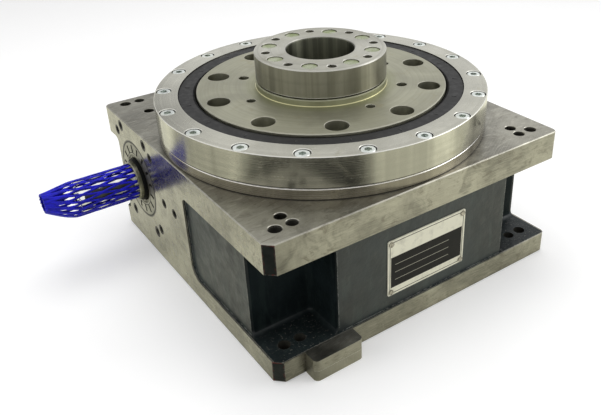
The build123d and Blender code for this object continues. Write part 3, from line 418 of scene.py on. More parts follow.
class Finish(Nodes):
    """A material and the calls that lay out what it shows."""

    def __init__(self, name):
        self.material = bpy.data.materials.new(name)
        self.material.use_nodes = True
        super().__init__(self.material.node_tree)
        self.shader = self.nodes["Principled BSDF"]
        self.coordinates = self.add("ShaderNodeTexCoord").outputs
        self.place = self.coordinates["Object"]
        self.x, self.y, self.z = self.split(self.place)

    def finished(self, tone, rough, normal=None, **inputs):
        """Sets the shader and returns the material."""
        inputs.update(Base_Color=tone, Roughness=rough)
        if normal:
            inputs["Normal"] = normal
        for key, value in inputs.items():
            self.put(self.shader.inputs[key.replace("_", " ")], value)
        return self.material

    def speckled(self, film, low, high, tones, rough, depth, relief=None, **inputs):
        """Finished with two tones, two roughnesses and a relief, as one film goes."""
        tone = self.blend(self.step(film, low, high), *tones)
        normal = self.bump(relief or film, depth)
        return self.finished(tone, self.follow(film, *rough), normal, **inputs)

    def noise(self, scale, detail, roughness, place=None, warp=0.0):
        return self.add("ShaderNodeTexNoise", {
            "Vector": place or self.place, "Scale": scale, "Detail": detail,
            "Roughness": roughness, "Distortion": warp}).outputs[0]

    def grain(self, x, y, z, detail, roughness, warp=0.0):
        """Noise with its own scale along each axis."""
        place = self.vector("MULTIPLY", self.place, (x, y, z)).outputs[0]
        return self.noise(1.0, detail, roughness, place, warp)

    def rings(self, radius, scale, detail, roughness=0.5):
        """Fine turned lines round an axis."""
        return self.noise(scale, detail, roughness, self.join(radius, 0.0, 0.0))

    def normal(self):
        return self.split(self.coordinates["Normal"])

    def radius(self):
        return self.distance(self.x, self.y)

    def off_shaft(self):
        return self.minus(self.y, SHAFT_Y), self.minus(self.z, SHAFT_Z)

    def shaft_radius(self):
        return self.distance(*self.off_shaft())

    def bump(self, height, depth, normal=None):
        """Relief of a depth in mm."""
        inputs = {"Height": height, "Distance": depth * MM, "Strength": 1.0}
        if normal:
            inputs["Normal"] = normal
        return self.add("ShaderNodeBump", inputs).outputs[0]

    def edges(self, radius):
        """Mask of sharp outer edges and corners, with the radius in mm."""
        normal = self.add("ShaderNodeNewGeometry").outputs["Normal"]
        rounded = self.add("ShaderNodeBevel", {"Radius": radius * MM}, samples=4).outputs[0]
        return self.step(self.vector("DOT_PRODUCT", normal, rounded).outputs[1], 0.985, 0.90)

    def occlusion_shade(self, reach):
        """Mask of the depths of holes and seams, where shade is painted, with the reach in mm."""
        occlusion = self.add("ShaderNodeAmbientOcclusion", {"Distance": reach * MM}, samples=6)
        return self.step(occlusion.outputs["AO"], 0.72, 0.25)


def painted_walls(f, ragged, off_side):
    """Mask of the set-back walls and the feet's upper faces, with a ragged edge."""
    y = f.plus(f.y, ragged)
    z = f.plus(f.z, ragged)
    return f.both(
        f.past(off_side, SIDE_X, -1.2, -1.6), f.past(y, FRONT_Y, 1.2, 1.6),
        f.past(y, BACK_Y, -1.2, -1.6), f.past(f.shaft_radius(), SHAFT_SEAT, -0.3, 0),
        f.within(z, FOOT_TOP - 0.4 * MM, PLATE_UNDERSIDE + 0.4 * MM, 0.25 * MM))


def corner_cuts(f, normal):
    """Mask of the near corner's cut faces."""
    to_corner = f.both(f.plus(normal[0], normal[1]), -0.7071)
    return f.both(f.step(to_corner, 0.93, 0.97), f.past(f.x, CUT_X, 5, 0), f.past(f.y, CUT_Y, 5, 0))


def tap_rims(f):
    """Mask of the rims of the tapped holes beside the input shaft, painted dark as the shade of
    wider mouths.
    """
    y, z = f.off_shaft()
    spots = [(f.abs(y), a, f.abs(z), b, rim) for a, b, rim in SIDE_TAPS]
    spots += [(y, a, z, 0.0, FRONT_TAP_RIM) for a in FRONT_TAPS]
    masks = []
    for across, a, up, b, rim in spots:
        away = f.distance(f.minus(across, a * MM), f.minus(up, b * MM))
        masks.append(f.past(away, rim * MM, 0.3, -0.3))
    return f.either(*masks)


def hole_masks(f, normal, off_side):
    """Masks of painted shade in holes and seams, and of the holes painted black as shade."""
    x = f.abs(f.x)
    y = f.abs(f.y)
    r = f.shaft_radius()
    inward = f.plus(x, y)
    along = f.abs(normal[0])
    near_side = f.both(f.step(along, 0.3, 0.6), f.past(f.x, -SIDE_X, 1.4, 1.2))
    corner_hole = f.both(
        f.step(f.abs(normal[2]), 0.7, 0.5), f.past(inward, CORNER_HOLE_SPAN, 0, -2),
        f.past(x, SIDE_X, -5, -6), f.past(f.y, BACK_Y, -5, -6), f.past(f.y, FRONT_Y, 5, 6),
        f.past(f.z, HOUSING_HIGH.z, -1.2, -2.4))
    side_hole = f.both(
        f.step(along, 0.7, 0.5), f.past(x, SIDE_X, -0.2, -0.4), f.past(x, SIDE_X, -20, -19),
        f.past(r, SIDE_HOLES_R, 0, -1), f.past(f.y, BACK_Y, -1, -2),
        f.within(f.z, 1 * MM, HOUSING_HIGH.z - 1 * MM, 0.25 * MM))
    seat_line = f.both(f.band(r, SHAFT_SEAT, -0.9, 0.5, 0.15), f.past(off_side, SIDE_X, -1.2, -0.9))
    blind_tap = f.both(
        f.past(x, BLIND_TAP_X, 0, -1), f.past(y, BLIND_TAP_Y, 0, -1),
        f.past(inward, BLIND_TAP_SPAN, 0, 2), f.past(f.z, HOUSING_HIGH.z, -30, -28))
    pit = f.either(side_hole, corner_hole, f.both(near_side, tap_rims(f)))
    # Painted shade: occluded places, hole walls and seams, darkened in the colour
    grime_and_shade = f.either(f.occlusion_shade(7), pit, seat_line)
    return f.both(grime_and_shade, f.by(blind_tap, 1.0, 0.5)), f.both(pit, f.by(blind_tap, 1.0, 0.0))


def bare_iron(f, settings, flat, marks, grime_and_shade):
    """Colour of the machined faces."""
    base = settings.casting
    wear = settings.wear
    cloud = f.noise(11, 6, 0.62, warp=0.6)
    stain = f.noise(38, 8, 0.68, warp=0.9)
    speck = f.noise(900, 3, 0.6)
    swirl = f.grain(60, 170, 110, 7, 0.72, warp=0.9)
    smear = f.grain(26, 26, 7, 5, 0.6, warp=0.5)
    bright = f.both(f.step(swirl, 0.52, 0.66), f.by(flat, 0.22, 0.55))
    return f.layers(
        f.cloudy(base, cloud, 0.34, 0.66, 0.66, 1.32),
        (shade(base, 0.58), f.step(stain, 0.50, 0.66), 0.7 * wear),
        (shade(base, 1.55), f.step(marks, 0.42, 0.68), 0.5),
        (shade(base, 1.9), bright, wear),
        (IRON_OIL, f.step(swirl, 0.46, 0.36), 0.55 * wear),
        (shade(base, 0.66), f.step(smear, 0.52, 0.68), 0.45 * wear),
        (IRON_SPECK, f.step(speck, 0.62, 0.72), 0.5 * wear),
        (IRON_EDGE, f.edges(0.9), 0.2 * wear),
        # painted light: top faces lighter
        (TOP_LIGHT, flat, 0.05),
        # painted shade in holes and seams
        (HOLE_SHADE, grime_and_shade, 0.88))


def wall_paint(f, settings, chips):
    """Colour of the painted walls, with dust, chips and painted shade, and the mask of their shaded
    parts.
    """
    paint = settings.paint
    dust = f.grain(120, 120, 24, 6, 0.66, warp=0.4)
    notch = f.both(
        f.past(f.abs(f.x), NOTCH_X, 0, 0.25),
        f.either(f.past(f.y, NOTCH_FRONT, 0, -0.25), f.past(f.y, NOTCH_BACK, 0, 0.25)))
    shaded = f.either(f.both(f.occlusion_shade(30), 0.55), f.both(notch, 0.4))
    coat = f.layers(
        f.cloudy(paint, f.noise(18, 5, 0.6), 0.3, 0.7, 0.6, 1.45),
        (PAINT_DUST, f.step(dust, 0.48, 0.66), 0.5),
        # painted shade in the hollows and the corner notches
        (shade(paint, 0.3), shaded, 1.0),
        (PAINT_CHIP, f.both(chips, f.by(notch, 1.0, 0.15)), 0.85 * settings.wear))
    return coat, shaded


def cut_paint(f, wear):
    """Colour of the near corner's cuts: black, with primer at their edges."""
    black = f.blend(f.step(f.noise(60, 4, 0.6), 0.35, 0.65), *CUT_PAINT)
    primer = f.both(f.step(f.edges(3.2), 0.05, 0.5), f.step(f.noise(180, 4, 0.7), 0.46, 0.58))
    return f.layers(black, (CUT_PRIMER, primer, wear))


def casting_finish(settings):
    """Milled grey iron with stains, painted on its set-back walls and the near corner's cuts."""
    f = Finish("machined_casting")
    normal = f.normal()
    flat = f.step(f.abs(normal[2]), 0.6, 0.9)
    side = f.both(f.step(f.abs(normal[0]), 0.7, 0.9), f.past(f.x, -SIDE_X, 0.5, 0.3))
    ragged = f.both(f.minus(f.noise(420, 5, 0.7), 0.5), 2.4 * MM)
    off_side = f.plus(f.abs(f.x), ragged)
    chips = f.both(f.edges(1.8), f.step(f.noise(260, 4, 0.7), 0.40, 0.56))
    cuts = f.both(corner_cuts(f, normal), f.minus(1.0, chips))
    painted = f.either(painted_walls(f, ragged, off_side), cuts)
    grime_and_shade, pit = hole_masks(f, normal, off_side)

    sweep = f.distance(f.minus(f.x, SWEEP_X), f.minus(f.y, SWEEP_Y))
    marks = f.mix(flat, f.grain(55, 55, 1400, 3, 0.55), f.rings(sweep, 1300, 2))
    metal = bare_iron(f, settings, flat, marks, grime_and_shade)
    coat, shaded = wall_paint(f, settings, chips)
    coat = f.blend(cuts, coat, cut_paint(f, settings.wear))

    film = f.noise(70, 5, 0.65)
    metal_rough = f.mix(side, f.follow(film, 0.32, 0.46), f.follow(film, 0.22, 0.29))
    paint_rough = f.follow(f.noise(90, 3, 0.5), 0.38, 0.50)
    cast_skin = f.plus(f.both(f.noise(140, 4, 0.6), 0.4), f.both(f.noise(26, 3, 0.5), 0.6))
    milled = f.bump(f.both(marks, f.minus(1.0, painted), f.by(side, 1.0, 0.3)), 0.03)
    return f.finished(
        f.blend(painted, metal, coat), f.mix(painted, metal_rough, paint_rough),
        f.bump(f.both(cast_skin, painted), 1.3, milled),
        # Holes painted black as shade lose their metal and most specular; the walls' painted shade
        # lowers specular too
        Metallic=f.minus(1.0, f.either(painted, pit)),
        Specular_IOR_Level=f.both(f.step(shaded, 0.0, 0.55, 0.5, 0.2), f.by(pit, 1.0, 0.1)))


def turned_finish(
        settings, name, shares, rough, streak=0.55, stains=0.35, seams=(), streak_scale=34,
        rim=0.5, tint=0.0, side=0.0):
    """Steel turned round the table axis: fine lines, stretched reflections and faint stains.

    seams are heights, from the top down, rim is how bright the painted highlight on chamfers and
    the rubbed edges are, tint how oily the face round the collar is, and side how dark the painted
    shade on upright walls is.
    """
    f = Finish(name)
    base = tinted(settings.steel, shares)
    wear = settings.wear
    r = f.radius()
    lathe = f.join(r, f.z, 0.0)
    fine = f.noise(1500, 3, 0.6, lathe)
    coarse = f.noise(260, 3, 0.5, lathe)
    cloud = f.noise(16, 6, 0.6, warp=0.7)
    stain = f.noise(46, 7, 0.66, warp=0.8)
    reflection_bands = f.step(f.noise(streak_scale, 3, 0.6, f.join(f.x, f.y, 0.0)), 0.40, 0.60)
    slant = f.abs(f.normal()[2])
    upright = f.step(slant, 0.5, 0.2)
    chamfer = f.within(slant, 0.6, 0.8, 0.05)
    foot = f.both(f.band(r, COLLAR_R, -0.5, 0.6, 0.2), f.past(f.z, DISC_TOP, 0.8, 0.5))

    metal = f.layers(
        f.cloudy(base, cloud, 0.3, 0.7, 0.84, 1.12),
        (shade(base, 0.74), f.step(coarse, 0.42, 0.66), 0.35),
        (STEEL_STAIN, f.step(stain, 0.55, 0.72), stains * wear),
        # painted reflection: dark vertical bands on upright faces
        (shade(base, 0.5), f.both(upright, reflection_bands), 0.6),
        # painted highlight on chamfers
        (CHAMFER_HIGHLIGHT, chamfer, rim),
        (COLLAR_OIL, f.past(r, COLLAR_R, 16, 0), tint),
        (COLLAR_FOOT, foot, 1.4 * tint),
        # painted shade on upright walls
        (UPRIGHT_SHADE, upright, side),
        # painted reflection in the bore
        (f.blend(reflection_bands, *BORE_REFLECTION_TONES), f.past(r, BORE_R, 1.0, 0.2), 1.0))
    lines = f.bump(fine, 0.012, f.bump(coarse, 0.02))
    if seams:
        metal, lines = seamed(f, metal, lines, upright, seams)
    metal = f.layers(metal, (STEEL_EDGE, f.edges(0.8), 0.5 * rim * wear))

    tangent = f.add("ShaderNodeTangent", direction_type="RADIAL", axis="Z").outputs[0]
    dull = f.either(f.both(f.step(stain, 0.5, 0.75), 0.06), f.both(chamfer, 0.25))
    return f.finished(
        metal, f.plus(f.follow(fine, rough - 0.05, rough + 0.07), dull), lines, Metallic=1.0,
        Anisotropic=streak, Anisotropic_Rotation=0.25, Tangent=tangent)


def seamed(f, metal, lines, upright, seams):
    """Adds painted shade in the seams, and a painted highlight on the edge under the first,
    brightest on the near side.
    """
    grooves = [f.band(f.z, level, -0.2, 0.7, 0.15) for level in seams]
    top = seams[0]
    lit_front = f.step(f.y, 10 * MM, -75 * MM, 0.15, 1.0)
    slope = f.step(f.z, top - 1.7 * MM, top - 0.1 * MM, lit_front, 0.0)
    metal = f.layers(
        # painted shade in the seams and a painted highlight under the first
        metal, (SEAM_SHADE, f.both(upright, f.either(*grooves)), 0.95),
        (SEAM_HIGHLIGHT, f.both(upright, lit_front, f.band(f.z, top, -1.5, -0.2, 0.2)), 1.0))
    return metal, f.bump(slope, 1.3, lines)


def ground_finish(settings):
    """Ground steel with fine lines round the shaft and a trace of oil."""
    f = Finish("ground_steel")
    lines = f.grain(1600, 90, 90, 3, 0.6)
    film = f.noise(55, 5, 0.6, warp=0.6)
    metal = f.layers(
        f.cloudy(shade(settings.steel, 1.45), film, 0.35, 0.7, 1.08, 0.72),
        (GROUND_EDGE, f.edges(0.7), 0.6 * settings.wear))
    return f.finished(metal, f.follow(lines, 0.16, 0.30), f.bump(lines, 0.01), Metallic=1.0)


def shaft_finish():
    """Bright ground shaft, darker and duller at its shoulder, with painted shade in its keyway."""
    f = Finish("shaft_steel")
    r = f.shaft_radius()
    lines = f.grain(1600, 90, 90, 3, 0.6)
    film = f.noise(55, 5, 0.6, warp=0.6)
    keyway = f.both(
        f.past(f.x, -SIDE_X, -4, -5), f.step(f.abs(f.normal()[0]), 0.5, 0.3),
        f.past(r, SHAFT_END_R, -0.2, -0.5), f.past(r, SHAFT_END_R, -8, -7))
    shoulder = f.past(r, SHAFT_END_R, 0.2, 0.5)
    metal = f.layers(
        f.cloudy(SHAFT_BRIGHT, film, 0.35, 0.7, 1.0, 0.8),
        (f.blend(f.step(film, 0.42, 0.60), *SHOULDER_TONES), shoulder, 1.0),
        # painted shade in the keyway
        (KEYWAY_SHADE, keyway, 0.9))
    rough = f.plus(f.follow(lines, 0.10, 0.18), f.both(f.either(keyway, shoulder), 0.3))
    return f.finished(metal, rough, f.bump(lines, 0.006), Metallic=1.0)


def plain_steel_finish(settings):
    """Flat milled steel, dull, with stains and small scratches."""
    f = Finish("plain_steel")
    base = settings.casting
    cloud = f.noise(24, 6, 0.62, warp=0.6)
    scratch = f.grain(900, 60, 60, 3, 0.7)
    metal = f.layers(
        f.cloudy(base, cloud, 0.32, 0.68, 0.70, 1.12),
        (shade(base, 1.4), f.step(scratch, 0.58, 0.7), 0.4 * settings.wear),
        (MILLED_EDGE, f.edges(0.8), 0.6 * settings.wear))
    relief = f.bump(scratch, 0.012, f.bump(cloud, 0.05))
    return f.finished(metal, f.follow(cloud, 0.46, 0.34), relief, Metallic=1.0)


def adjuster_finish(settings):
    """Turned rings in the housing's sides, black with grime and painted shade in their slots and
    seams.
    """
    f = Finish("adjuster_steel")
    base = shade(settings.steel, 0.60)
    r = f.shaft_radius()
    cloud = f.noise(60, 6, 0.62, warp=0.5)
    rings = f.rings(r, 700, 3, 0.6)
    sunk = f.past(f.abs(f.x), SIDE_X, -0.15, -0.4)
    rim = f.past(r, SHAFT_SEAT, -2.5, -2.1)
    groove = f.band(r, SLOT_INNER, -1, 0, 0.15)
    pitch = 2 * pi / SLOT_COUNT
    share = f.math("FRACT", f.both(f.math("ARCTAN2", *f.off_shaft()), 1 / pitch))
    aside = f.both(f.abs(f.minus(share, 0.5)), pitch, r)
    slots = f.both(
        f.past(aside, SLOT_HALF_W, 0.15, -0.15), f.within(r, SLOT_INNER, SLOT_OUTER, 0.2 * MM))
    # painted shade, with grime, in slots, grooves, the sunk faces and the rim
    dirt_and_shade = f.either(sunk, rim, groove, slots)
    metal = f.layers(
        f.cloudy(base, cloud, 0.32, 0.68, 0.7, 1.15),
        (shade(base, 0.6), f.step(rings, 0.5, 0.66), 0.5), (SLOT_SHADE, dirt_and_shade, 0.94))
    relief = f.bump(rings, 0.02, f.bump(cloud, 0.04))
    return f.finished(
        metal, f.follow(cloud, 0.50, 0.38), relief, Metallic=f.by(dirt_and_shade, 1.0, 0.1),
        Specular_IOR_Level=f.by(dirt_and_shade, 0.5, 0.1))


def zinc_finish(settings):
    """Bright plated screws, slightly clouded, with bare edges."""
    f = Finish("zinc_screw")
    cloud = f.noise(240, 4, 0.6)
    metal = f.layers(
        f.cloudy(settings.zinc, cloud, 0.35, 0.65, 0.80, 1.12),
        (ZINC_YELLOW, f.step(f.noise(60, 3, 0.5), 0.45, 0.7), 0.35),
        (ZINC_EDGE, f.edges(0.5), 0.6 * settings.wear))
    return f.finished(metal, f.follow(cloud, 0.22, 0.36), f.bump(cloud, 0.03), Metallic=1.0)


def rubber_finish(settings):
    """Black rubber with moulded rings and dust, with painted shade, black, at the gaps beside it.
    """
    f = Finish("black_rubber")
    base = settings.rubber
    r = f.radius()
    dust = f.noise(150, 6, 0.65)
    rings = f.noise(900, 2, 0.5, f.join(r, f.z, 0.0))
    gap = f.either(f.past(r, DISC_R, 3.8, 3.2), f.past(r, RING_LIP_R, -1.2, -0.7))
    skin = f.layers(
        f.cloudy(base, dust, 0.45, 0.72, 1.0, 2.8),
        # painted shade in the gaps beside the seal
        (shade(base, 3.4), f.step(rings, 0.5, 0.7), 0.5), (SEAL_GAP_SHADE, gap, 0.9))
    relief = f.bump(rings, 0.06, f.bump(dust, 0.02))
    return f.finished(
        skin, f.follow(dust, 0.42, 0.62), relief, Specular_IOR_Level=f.by(gap, 0.3, 0.06))


def plate_finish(settings):
    """Blank aluminium plate: light border and bands, and a dark field with rules."""
    f = Finish("plate_print")
    mid = (PLATE_LOW + PLATE_HIGH) / 2
    half = (PLATE_HIGH - PLATE_LOW) / 2
    across = f.minus(f.x, mid.x)
    up = f.minus(f.z, mid.z)
    u = f.abs(across)
    v = f.abs(up)
    line_u = half.x - PLATE_BORDER
    line_v = half.z - PLATE_BORDER
    field_u = half.x - PLATE_INSET
    lines = [
        f.both(
            f.within(a, line_a - LINE_HALF_W, line_a + LINE_HALF_W, PLATE_SOFT),
            f.step(b, line_b + LINE_HALF_W, line_b + 0.3 * MM))
        for a, line_a, b, line_b in ((u, line_u, v, line_v), (v, line_v, u, line_u))]
    field = f.both(
        f.step(u, field_u + PLATE_SOFT, field_u - PLATE_SOFT),
        f.within(up, PLATE_FOOT - half.z, half.z - PLATE_HEAD, PLATE_SOFT))
    rules = [
        f.within(up, (level - RULE_HALF_W) * MM, (level + RULE_HALF_W) * MM, PLATE_SOFT)
        for level in RULE_LEVELS]
    ruled = f.both(f.either(*rules), f.within(across, *RULE_ENDS, PLATE_SOFT), field)
    grime_and_shade = f.noise(120, 6, 0.65)
    dark = f.either(*lines, field)
    printed = f.layers(
        f.cloudy(settings.cream, grime_and_shade, 0.45, 0.72, 1.0, 0.78),
        (f.blend(f.step(grime_and_shade, 0.4, 0.7), *PLATE_BLACK), dark, 1.0),
        (shade(settings.cream, 0.8), ruled, 0.75), (PLATE_EDGE, f.edges(0.5), 0.5))
    relief = f.bump(f.minus(grime_and_shade, f.both(dark, 0.6)), 0.05)
    return f.finished(printed, f.follow(grime_and_shade, 0.42, 0.56), relief, Specular_IOR_Level=0.16)


def brass_finish(settings):
    """Turned brass, tarnished in its hollows."""
    f = Finish("brass_fitting")
    base = settings.brass
    cloud = f.noise(180, 5, 0.6)
    metal = f.layers(
        f.cloudy(base, cloud, 0.35, 0.68, 1.1, 0.6),
        (shade(base, 1.5), f.edges(0.6), 0.6 * settings.wear))
    return f.finished(metal, f.follow(cloud, 0.26, 0.42), f.bump(cloud, 0.03), Metallic=1.0)


def net_finish(settings):
    """Glossy extruded polyethylene, a little paler where it is stretched."""
    f = Finish("net_plastic")
    base = settings.net
    stretch = f.grain(130, 320, 320, 4, 0.6)
    tone = f.layers(
        f.cloudy(base, stretch, 0.34, 0.66, 0.62, 1.25),
        (shade(base, 1.6), f.step(f.noise(520, 3, 0.6), 0.6, 0.75), 0.3))
    return f.finished(
        tone, f.follow(stretch, 0.36, 0.5), f.bump(stretch, 0.10), Specular_IOR_Level=0.22)


def gasket_finish():
    """Pressed fibre sheet."""
    f = Finish("gasket_fibre")
    fibres = f.grain(500, 1100, 700, 6, 0.7)
    tones = ((0.05, 0.09, 0.07), (0.13, 0.18, 0.14))
    return f.speckled(fibres, 0.35, 0.65, tones, (0.7, 0.9), 0.05)


def rivet_finish():
    """Bright aluminium rivets, dulled by dirt."""
    f = Finish("rivet_aluminium")
    dirt_and_shade = f.noise(700, 4, 0.6)
    return f.speckled(dirt_and_shade, 0.4, 0.65, RIVET_TONES, (0.3, 0.5), 0.04, Metallic=1.0)


def glass_finish():
    """Sight glass with oil behind it."""
    f = Finish("clear_glass")
    swirl = f.noise(200, 3, 0.5, warp=0.8)
    return f.speckled(
        swirl, 0.35, 0.7, GLASS_TONES, (0.04, 0.10), 0.01, Transmission_Weight=0.85, IOR=1.5)


def cap_finish():
    """Pale green plastic, with patches of old grease."""
    f = Finish("cap_plastic")
    film = f.noise(150, 5, 0.62, warp=0.4)
    return f.speckled(film, 0.35, 0.68, CAP_TONES, (0.2, 0.4), 0.1)


def case_finish():
    """Pressed steel case of the shaft seal, dull with oil."""
    f = Finish("seal_case")
    film = f.noise(220, 5, 0.62)
    rings = f.rings(f.shaft_radius(), 800, 2)
    return f.speckled(film, 0.35, 0.7, CASE_TONES, (0.36, 0.55), 0.03, rings, Metallic=1.0)


def tick_finish():
    """Black joints of the disc seal, smoother than its rubber."""
    f = Finish("seal_joint_metal")
    cloud = f.noise(600, 4, 0.6)
    return f.speckled(cloud, 0.4, 0.65, TICK_TONES, (0.35, 0.5), 0.02)


def floor_finish(settings):
    """Pale floor that looks white, warmer in reflections, and keeps its shadow."""
    f = Finish("studio_floor")
    tone = f.cloudy(settings.floor, f.noise(30, 4, 0.5), 0.3, 0.7, 0.99, 1.0)
    reflected = f.add("ShaderNodeLightPath").outputs["Is Glossy Ray"]
    return f.finished(
        f.blend(reflected, tone, tinted(settings.floor, WARM)), 0.9, Specular_IOR_Level=0.1,
        Emission_Color=f.blend(reflected, WHITE, WARM),
        Emission_Strength=f.both(f.seen_directly(), FLOOR_GLOW))


def card_finish(cover):
    """Dark cloth whose edge fades out, so that its reflection has no hard line."""
    f = Finish("dark_card")
    cloth = f.blend(f.noise(40, 3, 0.5), (0.006, 0.006, 0.007), (0.012, 0.012, 0.012))
    alpha = f.both(f.step(f.radius(), 1.0, 0.65), cover)
    return f.finished(cloth, 0.95, Specular_IOR_Level=0.0, Alpha=alpha)


NODE_FINISHES = {
    "machined_casting": ["housing_casting"],
    "turned_ring": ["clamp_ring"],
    "turned_spacer": ["bearing_spacer_ring"],
    "turned_disc": ["output_disc"],
    "turned_column": ["column_head", "central_column"],
    "shaft_steel": ["camshaft"],
    "ground_steel": [
        "barrel_cam", "main_bearing_outer_race", "main_bearing_inner_race",
        "main_bearing_rollers", "input_bearing_cup", "far_bearing_cup", "input_bearing_cone",
        "far_bearing_cone", "input_bearing_rollers", "far_bearing_rollers", "follower_studs",
        "cam_key", "cam_spacers", *["follower_roller_%02d" % i for i in range(1, 11)]],
    "plain_steel": ["base_plate", "follower_carrier", "lug_pad"],
    "adjuster_steel": ["input_adjusting_ring", "far_adjusting_cover"],
    "zinc_screw": [
        "clamp_ring_screws", "column_head_screws", "base_plate_screws", "column_base_screws",
        "carrier_screws", "lug_pad_screws", "follower_nuts"],
    "black_rubber": ["disc_seal", "collar_seal", "input_shaft_seal"],
    "gasket_fibre": ["base_gasket"],
    "plate_print": ["nameplate"],
    "rivet_aluminium": ["nameplate_rivets"],
    "brass_fitting": ["oil_filler_plug", "oil_drain_plug", "sight_glass_rim"],
    "clear_glass": ["sight_glass"],
}


def dress(material):
    """Gives a finish to every node that is listed under its name."""
    for name in NODE_FINISHES[material.name.split(".")[0]]:
        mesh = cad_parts[name].data
        mesh.materials.clear()
        mesh.materials.append(material)


def add_object(name, mesh_source, material, body=None, smooth=True):
    """Makes an object of the mesh, which rides a body if one is named."""
    mesh = bpy.data.meshes.new(name)
    bmesh.ops.recalc_face_normals(mesh_source, faces=mesh_source.faces)
    mesh_source.to_mesh(mesh)
    mesh_source.free()
    for face in mesh.polygons:
        face.use_smooth = smooth
    mesh.materials.append(material)
    piece = bpy.data.objects.new(name, mesh)
    bpy.context.scene.collection.objects.link(piece)
    if body:
        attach(piece, body)
    return piece


def join_rows(mesh, rows):
    """Faces between closed rows of points, each joined to the next."""
    for low, high in zip(rows, rows[1:]):
        for i in range(len(low)):
            j = (i + 1) % len(low)
            mesh.faces.new((low[i], low[j], high[j], high[i]))


def join_rings(mesh, rings):
    """Tube through the rings of points, closed at both ends."""
    join_rows(mesh, rings)
    mesh.faces.new(rings[0])
    mesh.faces.new(rings[-1])


def head_caps():
    """Thin dished caps, pressed into the counterbores over the head's screws."""
    mesh = bmesh.new()
    top = HEAD_HIGH.z - CAP_SINK
    for turn in turns(CAP_COUNT):
        join_rings(mesh, [[
            mesh.verts.new((
                CAP_CIRCLE * cos(turn) + r * MM * cos(angle),
                CAP_CIRCLE * sin(turn) + r * MM * sin(angle), top + z * MM))
            for angle in turns(CAP_STEPS)] for r, z in CAP_PROFILE])
    return mesh


def lathed(profile):
    """Body turned round the shaft's axis from a profile of the shaft seal."""
    mesh = bmesh.new()
    rows = [[
        mesh.verts.new((
            depth * MM - SIDE_X, SHAFT_Y + r * MM * cos(turn), SHAFT_Z + r * MM * sin(turn)))
        for depth, r in profile] for turn in turns(LATHE_STEPS)]
    join_rows(mesh, rows + rows[:1])
    return mesh


def add_tick(mesh, turn, sizes):
    """A low bar with sloping sides, laid on the disc seal along a radius."""
    rows = []
    for height, inset in TICK_LEVELS:
        half_l = sizes.tick_length / 2 - inset * MM
        half_w = sizes.tick_width / 2 - inset * MM
        row = []
        for a, b in ((-1, -1), (1, -1), (1, 1), (-1, 1)):
            r = sizes.tick_radius + a * half_l
            t = b * half_w
            row.append(mesh.verts.new((
                r * cos(turn) - t * sin(turn), r * sin(turn) + t * cos(turn),
                SEAL_HIGH.z + height * MM)))
        rows.append(row)
    join_rings(mesh, rows)


def folded(x, sizes):
    """How far the net is drawn in at x: 0 along the shaft, 1 at its tip."""
    return min(1.0, max(0.0, (NET_LOW.x + sizes.fold - x) / sizes.fold))


def net_point(x, turn, lift, sizes):
    """Point of the net at x, turned round the shaft and lifted off its middle surface."""
    full = (NET_HIGH.z - NET_LOW.z) / 2 - sizes.strand_thickness / 2
    closed = folded(x, sizes)
    eased = closed ** FOLD_EASE
    high = full + (sizes.tip_high - full) * eased
    wide = full + (sizes.tip_wide - full) * eased
    rise = sizes.tip_rise * closed ** RISE_EASE
    return Vector((
        x, SHAFT_Y + (wide + lift) * cos(turn), SHAFT_Z + rise + (high + lift) * sin(turn)))


def strand_ring(mesh, x, turn, hand, twist, sizes):
    """Flat section of a strand, square to its run, swollen where two are welded."""
    here = net_point(x, turn, 0.0, sizes)
    ahead = net_point(x - STRAND_PROBE, turn + hand * twist * STRAND_PROBE, 0.0, sizes)
    out = (net_point(x, turn, STRAND_PROBE, sizes) - here).normalized()
    run = (ahead - here).normalized()
    side = run.cross(out).normalized()
    weld = 0.5 + 0.5 * cos(2 * turn * sizes.strand_count)
    wider = STRAND_SLIM + WELD_WIDER * weld + FOLD_WIDER * folded(x, sizes)
    half_w = sizes.strand_width / 2 * wider
    half_t = sizes.strand_thickness / 2 * (STRAND_SLIM + WELD_THICKER * weld)
    return [
        mesh.verts.new(here + side * half_w * cos(angle) + out * half_t * sin(angle))
        for angle in turns(STRAND_SIDES, pi / STRAND_SIDES)]


def net_mesh(sizes):
    """Two layers of strands that wind round the shaft in opposite directions."""
    mesh = bmesh.new()
    start = NET_HIGH.x - NET_START_GAP
    end = NET_LOW.x + NET_TIP_GAP
    twist = pi / sizes.strand_count / sizes.diamond
    for hand in (-1, 1):
        for phase in turns(sizes.strand_count):
            rings = []
            for k in range(STRAND_STEPS + 1):
                x = start + (end - start) * k / STRAND_STEPS
                turn = phase + hand * twist * (start - x)
                rings.append(strand_ring(mesh, x, turn, hand, twist, sizes))
            join_rings(mesh, rings)
    return mesh


class TABLE_OT_housing(Operator):
    """Finish the cast housing, its base and its lug"""
    bl_idname = "index_table.housing"
    bl_label = "Housing"

    def execute(self, context):
        settings = context.scene.table_finish
        dress(casting_finish(settings))
        dress(plain_steel_finish(settings))
        dress(gasket_finish())
        return {"FINISHED"}


class TABLE_OT_rings(Operator):
    """Finish the clamp ring and the ring under it"""
    bl_idname = "index_table.rings"
    bl_label = "Rings"

    def execute(self, context):
        settings = context.scene.table_finish
        seams = (RING_LOW.z, HOUSING_HIGH.z)
        dress(turned_finish(settings, "turned_ring", RING_STEEL, 0.20, seams=seams))
        dress(turned_finish(settings, "turned_spacer", SPACER_STEEL, 0.24, seams=seams))
        return {"FINISHED"}


class TABLE_OT_disc(Operator):
    """Finish the turning disc"""
    bl_idname = "index_table.disc"
    bl_label = "Output Disc"

    def execute(self, context):
        settings = context.scene.table_finish
        dress(turned_finish(
            settings, "turned_disc", DISC_STEEL, 0.47, streak=0.3, stains=0.4, rim=0.2, tint=0.5))
        return {"FINISHED"}


